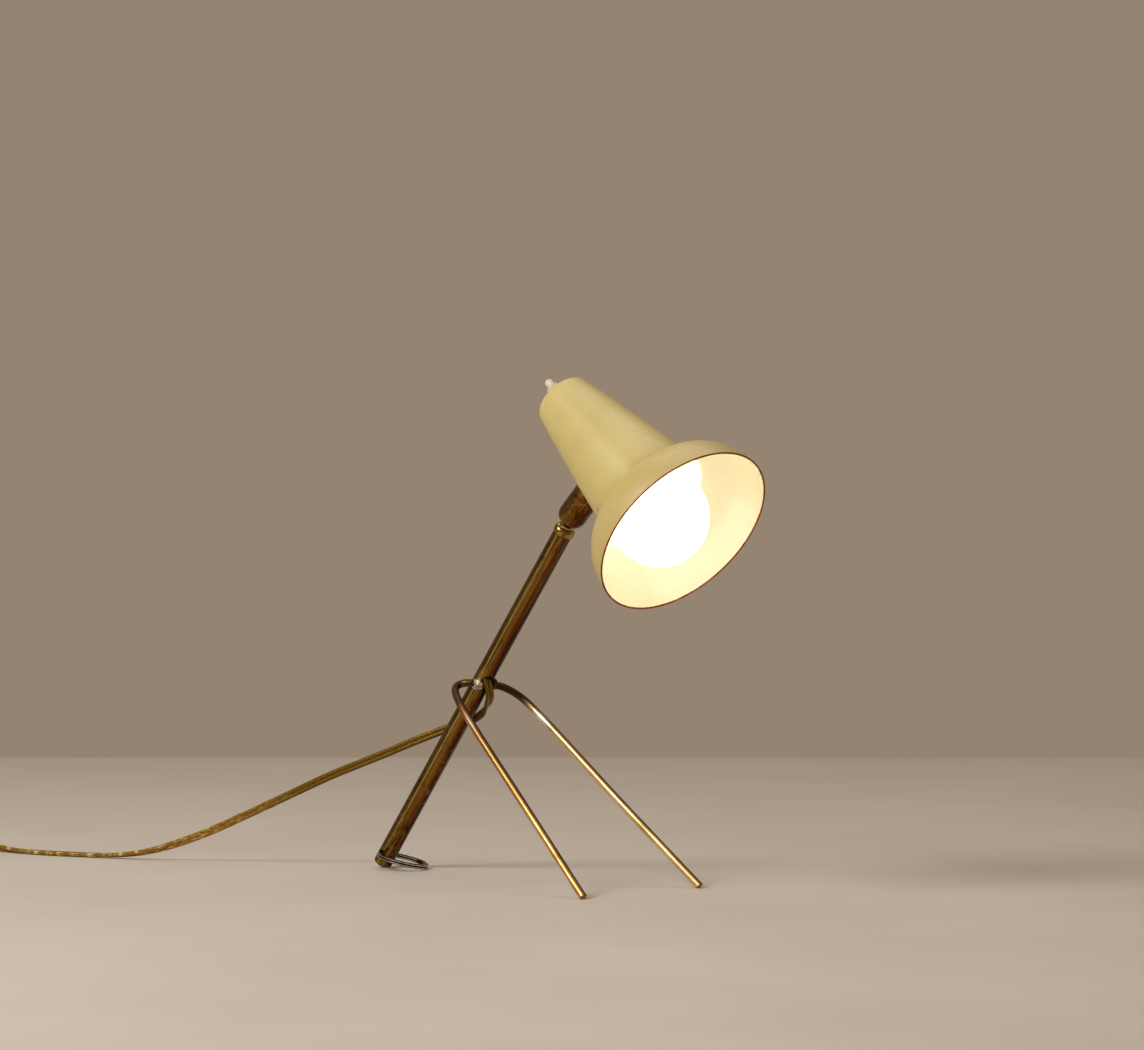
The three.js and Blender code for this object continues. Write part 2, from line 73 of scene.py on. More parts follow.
# Where the lamp's parts lie and point, in metres and unit vectors of its own frame.
BALL = Vector(joints["swivel_turn"]["pos_m"])
STEM = Vector(joints["swivel_turn"]["axis"]).normalized()
CUP = Vector(joints["shade_roll"]["axis"]).normalized()
HOLDER = Vector(joints["switch_press"]["axis"]).normalized()
RING_HOLE = Vector(joints["ring_swing"]["pos_m"])
FOOT = Vector(mounts["stem_foot"]["pos_m"]) + Vector((0.0001, 0, 0))
RING_HOLE_UP = 7.0
STEM_FOOT = RING_HOLE - STEM * RING_HOLE_UP * MM
SHADE_END = BALL + Vector((-9.414, 0, 70.924)) * MM
SHADE_DROP = math.radians(37.7)
SHADE = Vector((math.cos(SHADE_DROP), 0, -math.sin(SHADE_DROP)))
YAXIS = Vector((0, 1, 0))


# ---- camera

YAW = math.radians(46.6)
CAMERA_FROM_FOOT = Vector((1.83474, -1.57053, 0.222))
camera = bpy.data.objects.new("camera", bpy.data.cameras.new("camera"))
scene.collection.objects.link(camera)
scene.camera = camera
camera.data.sensor_fit = "HORIZONTAL"
camera.data.sensor_width = 36
camera.data.lens = 117.0
camera.location = FOOT + CAMERA_FROM_FOOT
camera.rotation_euler = (math.radians(90), 0, YAW)
camera.data.clip_start = 0.05
camera.data.clip_end = 50


# ---- mesh helpers


def placed(origin, axis):
    """A frame at origin whose Z runs along axis and whose Y is the lamp's own Y."""
    z = axis.normalized()
    x = YAXIS.cross(z)
    m = Matrix((x, YAXIS, z)).transposed().to_4x4()
    m.translation = origin
    return m


def crisp(mesh, degrees=32):
    """Smooth shading, with edges sharper than this left crisp."""
    bm = bmesh.new()
    bm.from_mesh(mesh)
    bmesh.ops.remove_doubles(bm, verts=bm.verts, dist=1e-7)
    bmesh.ops.recalc_face_normals(bm, faces=bm.faces)
    for face in bm.faces:
        face.smooth = True
    for edge in bm.edges:
        edge.smooth = not edge.is_manifold or edge.calc_face_angle(0) < math.radians(degrees)
    bm.to_mesh(mesh)
    bm.free()


def piece(name, shape, material, body, stands_for=(), matrix=None, degrees=32):
    """A new mesh object that rides on a body and stands for CAD nodes.

    shape is (vertices, faces, uvs), and matrix takes it to the lamp's own frame.
    """
    verts, faces, uvs = shape
    mesh = bpy.data.meshes.new(name)
    mesh.from_pydata([tuple(v) for v in verts], [], faces)
    if uvs is not None:
        layer = mesh.uv_layers.new(name="UVMap")
        flat = [c for loop in mesh.loops for c in uvs[loop.vertex_index]]
        layer.data.foreach_set("uv", flat)
    crisp(mesh, degrees)
    for m in material if isinstance(material, (list, tuple)) else [material]:
        mesh.materials.append(m)
    if matrix is not None:
        mesh.transform(matrix)
    obj = bpy.data.objects.new(name, mesh)
    scene.collection.objects.link(obj)
    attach(obj, body)
    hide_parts(*stands_for)
    return obj


def soften(profile, radius, steps=4, closed=True):
    """The outline with each real corner rounded."""
    pts = [np.array(p, float) for p in profile]
    count = len(pts)
    out = []
    for i, b in enumerate(pts):
        if not closed and i in (0, count - 1):
            out.append(b)
            continue
        a, c = pts[i - 1], pts[(i + 1) % count]
        la, lc = np.linalg.norm(a - b), np.linalg.norm(c - b)
        turn = math.acos(np.clip(np.dot(b - a, c - b) / (la * lc), -1, 1))
        if turn < math.radians(14):
            out.append(b)
            continue
        p = b + (a - b) / la * min(radius, 0.45 * la)
        q = b + (c - b) / lc * min(radius, 0.45 * lc)
        for k in range(steps + 1):
            t = k / steps
            out.append((1 - t) ** 2 * p + 2 * t * (1 - t) * b + t * t * q)
    return [tuple(p) for p in out]


def skin(rings, closed=False):
    """Faces between rings of points, of which one may be a single point.

    closed joins the last ring to the first.
    """
    sides = max(map(len, rings))
    faces = []
    for a, b in zip(rings, rings[1:] + rings[: int(closed)]):
        for k in range(sides):
            n = (k + 1) % sides
            quad = (a[k % len(a)], a[n % len(a)], b[n % len(b)], b[k % len(b)])
            quad = list(dict.fromkeys(quad))
            if len(quad) > 2:
                faces.append(quad)
    return faces


def capped(rings):
    """Faces between rings of points, and over the first and the last of them."""
    return [*skin(rings), rings[0][::-1], rings[-1]]


def lathe(profile, sides=96, closed=True, wobble=None):
    """A body turned about Z from (radius, height) points in millimetres.

    wobble(angle, radius) is what a point's radius gains at an angle.
    """
    verts, rings = [], []
    for r, z in profile:
        if r < 1e-6:
            rings.append([len(verts)])
            verts.append((0, 0, z * MM))
            continue
        rings.append(list(range(len(verts), len(verts) + sides)))
        for k in range(sides):
            a = 2 * math.pi * k / sides
            q = r + (wobble(a, r) if wobble else 0)
            verts.append((q * math.cos(a) * MM, q * math.sin(a) * MM, z * MM))
    return verts, skin(rings, closed), None


def turned(profile, sides=96, radius=0.3, wobble=None):
    """lathe with softened corners. An outline that ends on the axis is left open there."""
    closed = profile[0][0] > 1e-6
    return lathe(soften(profile, radius, closed=closed), sides, closed, wobble)


def arc(r0, z0, radius, start, end, steps):
    """Points of a round stretch of an outline, in degrees."""
    angles = [math.radians(start + (end - start) * k / steps) for k in range(steps + 1)]
    return [(r0 + radius * math.cos(a), z0 + radius * math.sin(a)) for a in angles]


def plain_ring(bore, outer, low, high):
    """The outline of a ring with flat faces, or of a disc where the bore is 0."""
    return [(bore, low), (outer, low), (outer, high), (bore, high)]


def eased(t):
    """0 up to 0, 1 from 1 on, and an S between them."""
    t = min(max(t, 0), 1)
    return t * t * (3 - 2 * t)


def bezier(p0, p1, p2, p3, steps):
    pts = [np.array(p, float) for p in (p0, p1, p2, p3)]
    out = []
    for k in range(steps + 1):
        t = k / steps
        w = ((1 - t) ** 3, 3 * (1 - t) ** 2 * t, 3 * (1 - t) * t * t, t**3)
        out.append(tuple(sum(a * p for a, p in zip(w, pts))))
    return out


def spline(points, step):
    """A smooth curve through the points, as closely spaced points."""
    pts = [np.array(p, float) for p in points]
    out = []
    for i in range(len(pts) - 1):
        p1, p2 = pts[i], pts[i + 1]
        p0 = pts[i - 1] if i else 2 * p1 - p2
        p3 = pts[i + 2] if i + 2 < len(pts) else 2 * p2 - p1
        d0, d1, d2 = (np.linalg.norm(b - a) ** 0.5 for a, b in ((p0, p1), (p1, p2), (p2, p3)))
        m1 = ((p1 - p0) / d0 - (p2 - p0) / (d0 + d1) + (p2 - p1) / d1) * d1
        m2 = ((p2 - p1) / d1 - (p3 - p1) / (d1 + d2) + (p3 - p2) / d2) * d1
        count = max(2, int(np.linalg.norm(p2 - p1) / step) + 1)
        for k in range(count):
            t = k / count
            h = (2 * t**3 - 3 * t * t + 1, t**3 - 2 * t * t + t, 3 * t * t - 2 * t**3, t**3 - t * t)
            out.append(h[0] * p1 + h[1] * m1 + h[2] * p2 + h[3] * m2)
    out.append(pts[-1])
    return np.array(out)


def length_along(points):
    """How far along a line each of its points lies."""
    return np.concatenate([[0], np.cumsum(np.linalg.norm(np.diff(points, axis=0), axis=1))])


def evenly(points, step):
    """The same line with equal steps."""
    run = length_along(points)
    at = np.linspace(0, run[-1], max(2, int(run[-1] / step) + 1))
    return np.stack([np.interp(at, run, points[:, k]) for k in range(3)], 1)


def unit(v):
    return v / np.maximum(np.linalg.norm(v, axis=-1, keepdims=True), 1e-12)


def sweep(path, section, wide=None):
    """A section of (across, thick) points carried along a path, with its ends closed.

    wide holds the section's across direction at each point of the path.
    """
    tangent = unit(np.gradient(path, axis=0))
    if wide is None:
        wide = [np.array([0.0, 0.0, 1.0]) if abs(tangent[0][2]) < 0.9 else np.array([1.0, 0, 0])]
        for t in tangent[1:]:
            w = wide[-1] - np.dot(wide[-1], t) * t
            wide.append(w / np.linalg.norm(w))
        wide = np.array(wide)
    w = unit(wide - (wide * tangent).sum(1, keepdims=True) * tangent)
    n = np.cross(tangent, w)
    sec = np.array(section, float)
    verts = path[:, None] + sec[None, :, :1] * w[:, None] + sec[None, :, 1:] * n[:, None]
    verts = verts.reshape(-1, 3)
    count = len(sec)
    rings = [list(range(i * count, (i + 1) * count)) for i in range(len(path))]
    uvs = [(s[0] * 1000, r * 1000) for r in length_along(path) for s in sec]
    return verts, capped(rings), uvs


def circle(radius, sides):
    angles = [2 * math.pi * k / sides for k in range(sides)]
    return [(radius * math.cos(a), radius * math.sin(a)) for a in angles]


def rounded_box(wide, high, corner, steps=5):
    out = []
    for cx, cy, start in ((1, 1, 0), (-1, 1, 90), (-1, -1, 180), (1, -1, 270)):
        for k in range(steps + 1):
            a = math.radians(start + 90 * k / steps)
            x = cx * (wide / 2 - corner) + corner * math.cos(a)
            y = cy * (high / 2 - corner) + corner * math.sin(a)
            out.append((x, y))
    return out


def in_metres(section):
    return [(x * MM, y * MM) for x, y in section]


def mesh_of(bm):
    """The (vertices, faces, uvs) of a bmesh, which is then freed."""
    bm.verts.index_update()
    shape = [tuple(v.co) for v in bm.verts], [[v.index for v in f.verts] for f in bm.faces], None
    bm.free()
    return shape


def below_floor_off(obj):
    """Cuts away what lies below the floor, and closes the cut."""
    bm = bmesh.new()
    bm.from_mesh(obj.data)
    inverse = obj.matrix_world.inverted()
    co = inverse.translation
    no = (inverse.to_3x3() @ Vector((0, 0, 1))).normalized()
    geom = list(bm.verts) + list(bm.edges) + list(bm.faces)
    cut = bmesh.ops.bisect_plane(bm, geom=geom, plane_co=co, plane_no=no, clear_inner=True)
    edges = [e for e in cut["geom_cut"] if isinstance(e, bmesh.types.BMEdge)]
    bmesh.ops.holes_fill(bm, edges=edges, sides=0)
    bm.to_mesh(obj.data)
    bm.free()
    crisp(obj.data)


def carve(obj, *cutters):
    """Takes the cutters' solids out of obj."""
    for shape, matrix in cutters:
        mesh = bpy.data.meshes.new("cutter")
        mesh.from_pydata([tuple(v) for v in shape[0]], [], shape[1])
        crisp(mesh)
        tool = bpy.data.objects.new("cutter", mesh)
        scene.collection.objects.link(tool)
        tool.matrix_world = matrix
        mod = obj.modifiers.new("cut", "BOOLEAN")
        mod.operation = "DIFFERENCE"
        mod.solver = "EXACT"
        mod.object = tool
        bpy.context.view_layer.update()
        solved = obj.evaluated_get(bpy.context.evaluated_depsgraph_get())
        done = bpy.data.meshes.new_from_object(solved)
        obj.modifiers.clear()
        obj.data = done
        bpy.data.objects.remove(tool)
    crisp(obj.data)


# ---- material helpers


class Graph:
    """One material's nodes. Its coordinates are the lamp's, or those of a place on the lamp."""

    def __init__(self, name, place=None, **uniform):
        self.material = bpy.data.materials.new(name)
        self.material.use_nodes = True
        self.tree = self.material.node_tree
        self.tree.nodes.clear()
        self.shader = self.node("ShaderNodeBsdfPrincipled")
        self.set(**uniform)
        out = self.node("ShaderNodeOutputMaterial")
        self.tree.links.new(self.shader.outputs[0], out.inputs[0])
        where = self.node("ShaderNodeTexCoord")
        self.object = where.outputs["Object"]
        self.uv = where.outputs["UV"]
        self.colour = None
        if place is not None:
            back = place.inverted()
            move = {"Rotation": back.to_euler(), "Location": back.translation}
            self.object = self.node("ShaderNodeMapping", {"Vector": self.object, **move}).outputs[0]

    def put(self, node, key, value):
        if isinstance(value, bpy.types.NodeSocket):
            self.tree.links.new(value, node.inputs[key])
        else:
            node.inputs[key].default_value = value

    def node(self, kind, inputs=None, **settings):
        node = self.tree.nodes.new(kind)
        for key, value in settings.items():
            setattr(node, key, value)
        for key, value in (inputs or {}).items():
            self.put(node, key, value)
        return node

    def noise(self, scale, detail, rough, at=None):
        """Noise over the object's coordinates or others. A scale for each axis draws it out."""
        at = self.object if at is None else at
        if isinstance(scale, tuple):
            at = self.node("ShaderNodeMapping", {"Vector": at, "Scale": scale}).outputs[0]
            scale = 1.0
        inputs = {"Vector": at, "Scale": scale, "Detail": detail, "Roughness": rough}
        return self.node("ShaderNodeTexNoise", inputs).outputs["Fac"]

    def ramp(self, fac, *stops):
        """Blends between (place, value) stops. A value is a number, or a colour from 0 to 255."""
        node = self.node("ShaderNodeValToRGB", {"Fac": fac})
        elements = node.color_ramp.elements
        while len(elements) < len(stops):
            elements.new(0.5)
        for element, (at, value) in zip(elements, stops):
            colour = srgb(*value) if isinstance(value, tuple) else (value,) * 3
            element.position = at
            element.color = (*colour, 1)
        return node.outputs[0]

    def span(self, fac, low, high, start=0.0, end=1.0):
        """A number that goes from start to end while fac goes from low to high."""
        return self.ramp(fac, (low, start), (high, end))

    def math(self, operation, a, b=0.0):
        return self.node("ShaderNodeMath", {0: a, 1: b}, operation=operation).outputs[0]

    add = partialmethod(math, "ADD")
    sub = partialmethod(math, "SUBTRACT")
    mul = partialmethod(math, "MULTIPLY")
    div = partialmethod(math, "DIVIDE")
    size = partialmethod(math, "ABSOLUTE")

    def lay(self, fac, over, light=1.0):
        """Lays a colour over the graph's own by fac. One from 0 to 255 may be dimmed."""
        if isinstance(over, tuple):
            over = (*[light * c for c in srgb(*over)], 1)
        inputs = {0: fac, 6: self.colour, 7: over}
        self.colour = self.node("ShaderNodeMix", inputs, data_type="RGBA").outputs[2]

    def split(self, vector):
        return self.node("ShaderNodeSeparateXYZ", {0: vector}).outputs

    def bump(self, height, distance, strength=1.0):
        inputs = {"Height": height, "Distance": distance, "Strength": strength}
        self.put(self.shader, "Normal", self.node("ShaderNodeBump", inputs).outputs[0])

    def set(self, **inputs):
        """Sets the shader's inputs by name, with _ for a space."""
        for key, value in inputs.items():
            self.put(self.shader, key.replace("_", " "), value)
        return self.material

    def done(self, roughness):
        """The material, with the graph's own colour and this roughness."""
        return self.set(Base_Color=self.colour, Roughness=roughness)


def linear(c):
    return c / 12.92 if c <= 0.04045 else ((c + 0.055) / 1.055) ** 2.4


def srgb(*colour):
    """A colour given as 0 to 255, as the linear numbers that shaders take."""
    return tuple(linear(c / 255) for c in colour)


def metal(name, tones, grain, place=None, spots=220.0, rough=(0.22, 0.42), metallic=1.0):
    """Aged metal: tones from darkest to lightest, a drawn-out grain, and small spots."""
    g = Graph(name, place, Metallic=metallic)
    cloud = g.noise(85.0, 5.0, 0.6)
    drawn = g.noise(grain, 4.0, 0.6)
    speck = g.noise(spots, 3.0, 0.7)
    tone = g.add(g.mul(cloud, 0.5), g.mul(drawn, 0.5))
    low, mid, high = tones
    g.colour = g.ramp(tone, (0.34, low), (0.5, mid), (0.64, high))
    pits = g.span(speck, 0.60, 0.72)
    g.lay(g.mul(pits, 0.7), low, 0.45)
    level = g.span(tone, 0.35, 0.62, rough[1], rough[0])
    g.bump(g.sub(drawn, g.mul(pits, 0.5)), 0.00003)
    return g.done(level)


# ---- cord


def point(x, y, z):
    """A point given in millimetres from the stem's foot."""
    return np.array(FOOT) + np.array((x, y, z)) * MM


CORD_W = 5.5
CORD_T = 2.8
LIES_AT = CORD_T / 2 + 0.1
STANDS_AT = CORD_W / 2 + 0.15
UP = (0, 0, 1)

# Where the free stretch runs, and which way the flat cord's broad side is turned there.
ROUTE = [
    ((94.6, -1.2, 130.0), (0.1, 1.0, 0.0)),
    ((97.2, -1.5, 125.4), (0.1, 1.0, 0.1)),
    ((98.9, -1.6, 121.2), (0.1, 1.0, 0.1)),
    ((98.9, -0.6, 117.4), (0.2, 1.0, 0.1)),
    ((96.9, 1.7, 113.9), (0.3, 0.9, 0.2)),
    ((92.6, 4.7, 110.4), (0.5, 0.6, 0.4)),
    ((86.6, 7.6, 106.2), (0.3, 0.3, 0.8)),
    ((79.4, 9.8, 101.8), UP),
    ((71.6, 10.4, 98.4), UP),
    ((62.4, 8.4, 95.2), UP),
    ((51.5, 3.5, 91.2), UP),
    ((31.5, -6.0, 82.8), UP),
    ((12.9, -13.6, 74.8), UP),
    ((-6.0, -21.3, 67.0), UP),
    ((-25.1, -28.8, 59.0), UP),
    ((-58.2, -41.8, 43.4), UP),
    ((-79.0, -50.2, 33.6), UP),
    ((-107.4, -61.4, 20.6), (0.1, -0.2, 0.97)),
    ((-128.7, -69.6, 12.4), (0.15, -0.4, 0.8)),
    ((-151.0, -78.6, 5.6), (0.3, -0.8, 0.5)),
    ((-172.0, -87.2, 2.2), (0.35, -0.9, 0.2)),
    ((-193.0, -96.2, LIES_AT), (0.35, -0.93, 0.0)),
    ((-214.0, -104.4, LIES_AT), (0.3, -0.95, 0.0)),
    ((-236.0, -110.6, LIES_AT), (0.2, -0.98, 0.0)),
    ((-258.0, -113.8, LIES_AT + 0.3), (0.05, -0.9, 0.4)),
    ((-278.0, -115.2, STANDS_AT - 0.5), (0.0, -0.3, 0.95)),
]
COIL_X, COIL_Y = -295.8, -156.3
COIL_FROM = math.pi / 2
LOW_TURNS, HIGH_TURNS = 3.5, 3.0
OUTER_TURN, INNER_TURN = 36.4, 26.6
TURN_GAP = 2.95
LAYER_GAP = 0.25
COIL_LIFT = 0.9
TAIL_Y = -197.85
PLUG_X, PLUG_Z = -246.0, 6.5


def coil_points(steps=24):
    """Down in on the lower layer, then up and out again on the upper one, by angle."""
    out = []
    turns = LOW_TURNS + HIGH_TURNS
    for k in range(1, int(turns * steps)):
        turn = k / steps
        rise = eased((turn - LOW_TURNS + 0.25) / 0.5)
        inward = OUTER_TURN - TURN_GAP * min(turn, LOW_TURNS)
        outward = INNER_TURN + TURN_GAP * (turn - LOW_TURNS)
        radius = inward * (1 - rise) + outward * rise
        start = max(0.0, 1 - turn / 0.22)
        end = max(0.0, 1 - (turns - turn) / 0.18)
        radius += 4.9 * start**2 + 5.2 * end**2
        z = STANDS_AT + COIL_LIFT + (CORD_W + LAYER_GAP) * rise - COIL_LIFT * start - 0.6 * end
        a = COIL_FROM + 2 * math.pi * turn
        out.append(((COIL_X + radius * math.cos(a), COIL_Y + radius * math.sin(a), z), UP))
    return out


TAIL = [
    ((COIL_X + 9, TAIL_Y, 9.0), UP),
    ((COIL_X + 20, TAIL_Y, 8.4), (0, 0.4, 0.9)),
    ((COIL_X + 30, TAIL_Y, 7.6), (0, 0.9, 0.45)),
    ((COIL_X + 40, TAIL_Y, 6.8), (0, 1, 0.05)),
    ((PLUG_X + 2.0, TAIL_Y, PLUG_Z), (0, 1, 0)),
]


def flat_twin(web=0.86, steps=14):
    """The flat cord's section: two round cores side by side with a groove between them."""
    half, r = CORD_W / 2, CORD_T / 2
    outline = []
    for k in range(steps + 1):
        x = half * math.cos(math.pi * k / steps)
        lobe = max(r * r - (abs(x) - (half - r)) ** 2, 0) ** 0.5
        y = max(lobe, web) if abs(x) < half - r else lobe
        outline.append((x, y))
    lower = [(x, -y) for x, y in reversed(outline[1:-1])]
    return in_metres(outline + lower)


def cord_run():
    """The cord's middle line, and which way its broad side is turned all along it."""
    stops = ROUTE + coil_points() + TAIL
    line = spline([point(*p) for p, _ in stops], 0.0016)
    stop_at = length_along(np.array([p for p, _ in stops]))
    line_at = length_along(line)
    broad = unit(np.array([w for _, w in stops], float))
    at, known_at = line_at / line_at[-1], stop_at / stop_at[-1]
    return line, np.stack([np.interp(at, known_at, broad[:, k]) for k in range(3)], 1)


CORE_OFF = 1.35  # from the cord's middle to the middle of either core, in millimetres


def cord_material():
    """Clear gold insulation over twisted copper strands, painted lighter and more golden further
    along, with painted glints there.
    """
    g = Graph("clear_gold_flex", Coat_Weight=0.05, Coat_Roughness=0.12, Specular_IOR_Level=0.08)
    across, along, _ = g.split(g.uv)
    core = g.size(g.sub(g.size(across), CORE_OFF))
    inside = g.span(g.mul(core, 0.7), 0.42, 0.66, 1.0, 0.0)
    lay = g.add(g.mul(across, 2.1), g.mul(along, 1.5))
    wires = g.add(g.mul(g.math("SINE", g.mul(lay, 2.2)), 0.5), 0.5)
    uneven = g.noise((1.2, 0.25, 1.0), 3.0, 0.6, g.uv)
    strands = g.ramp(wires, (0.12, (48, 30, 4)), (0.55, (100, 68, 14)), (0.9, (184, 138, 52)))
    g.colour = g.ramp(uneven, (0.35, (54, 42, 4)), (0.55, (86, 68, 10)), (0.7, (114, 90, 20)))
    g.lay(inside, strands)
    # Painted light: from part way along, the cord is painted lighter and more golden, as if lit
    # where it lies on the floor.
    painted_light_on_table = g.span(g.div(along, 400.0), 0.45, 0.64)
    g.lay(g.mul(painted_light_on_table, 0.3), (196, 142, 40))
    # Painted glints: pale highlight streaks on the lighter stretch.
    patches = g.noise((1.5, 0.16, 1.0), 3.0, 0.6, g.uv)
    painted_glint = g.span(patches, 0.52, 0.64, 0.0, 0.6)
    g.lay(g.mul(painted_glint, painted_light_on_table), (255, 230, 160))
    g.bump(g.mul(wires, inside), 0.00012, 0.6)
    g.set(Metallic=g.mul(inside, 0.8))
    return g.done(g.span(uneven, 0.3, 0.7, 0.38, 0.22))


cord_line, cord_wide = cord_run()
cord = piece(
    "cord",
    sweep(cord_line, flat_twin(), cord_wide),
    cord_material(),
    "stand",
    ("cord_lead", "cord_coil", "cord_tail"),
    degrees=60,
)


PLUG_LENGTH = 25.0
RIBS_FROM, RIBS_TO = 12.5, 21.5
RIB_STEP = 3.0
RIB_DEPTH = 0.55
# The plug's section by distance from the cord: width, thickness and corner radius.
PLUG_STATIONS = [
    (0.0, 7.6, 5.0, 2.3),
    (1.0, 8.0, 6.2, 2.8),
    (4.0, 10.6, 8.6, 3.4),
    (7.5, 12.6, 10.2, 3.8),
    (10.0, 12.2, 10.0, 3.8),
    (13.0, 14.6, 10.6, 3.6),
    (18.0, 19.2, 12.0, 2.8),
    (21.5, 20.8, 12.5, 2.2),
    (24.0, 21.0, 12.6, 1.6),
    (24.8, 20.6, 12.2, 1.3),
    (PLUG_LENGTH, 20.0, 11.6, 1.0),
]


def plug_shape():
    """A moulded two-blade plug, thick and broad at its face and narrow where the cord goes in."""
    verts, rings = [], []
    at, *sizes = np.array(PLUG_STATIONS).T
    fine = np.concatenate([np.linspace(0, 24, 49), [24.3, 24.6, 24.8, 24.95, PLUG_LENGTH]])
    for x in np.unique(fine):
        wide, high, corner = (np.interp(x, at, size) for size in sizes)
        if RIBS_FROM < x < RIBS_TO:
            high -= RIB_DEPTH * (0.5 - 0.5 * math.cos(2 * math.pi * (x - RIBS_FROM) / RIB_STEP))
        section = rounded_box(wide, high, corner)
        rings.append(list(range(len(verts), len(verts) + len(section))))
        verts += [tuple(point(PLUG_X + x, TAIL_Y + a, PLUG_Z + b)) for a, b in section]
    return verts, capped(rings), None


def plug_material():
    g = Graph("clear_gold_plug", Coat_Weight=0.9, Coat_Roughness=0.08)
    cloud = g.noise(160.0, 4.0, 0.6)
    fine = g.noise(1400.0, 2.0, 0.5)
    g.colour = g.ramp(cloud, (0.35, (112, 84, 26)), (0.5, (160, 126, 52)), (0.68, (198, 164, 84)))
    g.bump(g.add(cloud, g.mul(fine, 0.3)), 0.00005)
    return g.done(g.span(cloud, 0.35, 0.65, 0.4, 0.26))


vinyl = plug_material()
plug = piece("plug", plug_shape(), vinyl, "stand", ("plug_body",), degrees=40)
tones = (120, 92, 44), (176, 142, 76), (222, 192, 124)
blade_metal = metal("blade_brass", tones, (60, 900, 900), rough=(0.16, 0.34))

BLADE_OFF = 6.35
BLADE_LENGTH, BLADE_HIGH, BLADE_THICK = 17.6, 6.3, 1.5
BLADE_CORNER = 1.6
BLADE_HOLE_R, BLADE_HOLE_IN = 1.5, 4.2


def blade_shape(y):
    """A flat blade with a rounded tip and a hole near it."""
    x0, top, tip = PLUG_X + PLUG_LENGTH + 0.1, BLADE_HIGH / 2, BLADE_LENGTH
    outline = [(0, -top), (tip - BLADE_CORNER, -top), (tip, -top + BLADE_CORNER)]
    outline += [(tip, top - BLADE_CORNER), (tip - BLADE_CORNER, top), (0, top)]
    outline = soften(outline, 0.9, 3)
    hole = [(tip - BLADE_HOLE_IN + a, b) for a, b in circle(BLADE_HOLE_R, 24)]
    bm = bmesh.new()
    loops = []
    for ring in (outline, hole):
        vs = [bm.verts.new(point(x0 + a, y - BLADE_THICK / 2, PLUG_Z + b)) for a, b in ring]
        loops += [bm.edges.new((vs[k], vs[(k + 1) % len(vs)])) for k in range(len(vs))]
    bmesh.ops.triangle_fill(bm, use_beauty=True, edges=loops)
    grown = bmesh.ops.extrude_face_region(bm, geom=list(bm.faces))
    moved = [v for v in grown["geom"] if isinstance(v, bmesh.types.BMVert)]
    bmesh.ops.translate(bm, verts=moved, vec=(0, BLADE_THICK * MM, 0))
    bm.normal_update()
    sharp = [e for e in bm.edges if e.is_manifold and e.calc_face_angle(0) > 1.0]
    bmesh.ops.bevel(bm, geom=sharp, offset=0.12 * MM, segments=2, affect="EDGES", profile=0.5)
    return mesh_of(bm)


blades = [
    piece(
        f"plug_blade_{side}_fine",
        blade_shape(TAIL_Y + sign * BLADE_OFF),
        blade_metal,
        "stand",
        (f"plug_blade_{side}",),
    )
    for side, sign in (("left", 1), ("right", -1))
]


def plastic(name, tones, rough=(0.36, 0.55), coat=0.15):
    """Moulded plastic, glass or glaze, tinted and worn a little unevenly."""
    g = Graph(name, Coat_Weight=coat)
    cloud = g.noise(120.0, 5.0, 0.6)
    fine = g.noise(1500.0, 3.0, 0.6)
    low, mid, high = tones
    g.colour = g.ramp(cloud, (0.34, low), (0.5, mid), (0.66, high))
    g.bump(g.add(g.mul(cloud, 0.4), fine), 0.00002)
    return g.done(g.span(fine, 0.35, 0.65, rough[1], rough[0]))


tones = (196, 182, 160), (218, 206, 186), (232, 222, 204)
white = plastic("aged_white_plastic", tones)

TIE_WIDE, TIE_HIGH, TIE_CORNER = 15.2, 12.2, 3.0
TIE_CENTRE = (COIL_X + 31.5, COIL_Y, 6.7)
BAND_WIDE, BAND_THICK, BAND_CORNER = 5.0, 0.6, 0.28


def tie_shape():
    """A narrow band round the coil, with its end tucked over itself."""
    loop = rounded_box(TIE_WIDE, TIE_HIGH, TIE_CORNER, 6)
    loop = loop[3:] + loop[:3] + [loop[3]]
    x, y, z = TIE_CENTRE
    path = evenly(np.array([point(x + a, y, z + b) for a, b in loop]), 0.0007)
    band = in_metres(rounded_box(BAND_WIDE, BAND_THICK, BAND_CORNER, 3))
    return sweep(path, band, np.tile([0.0, 1.0, 0.0], (len(path), 1)))


tie = tie_shape()
tie = piece("cord_tie_band", tie, white, "stand", ("cord_tie",), degrees=50)


# ---- stem

STEM_R, STEM_BORE = 6.0, 5.0
STEM_TOP = 288.3 - 14.9
stem_frame = placed(STEM_FOOT, STEM)
stud_frame = placed(BALL, STEM)
cup_frame = placed(BALL, CUP)
holder_frame = placed(SHADE_END, HOLDER)
shade_frame = placed(SHADE_END, SHADE)

BRAZE_AT = Vector(point(93.9, 6.1, 121.9))
SMEAR_UP = (BRAZE_AT - STEM_FOOT).dot(STEM) + 0.006


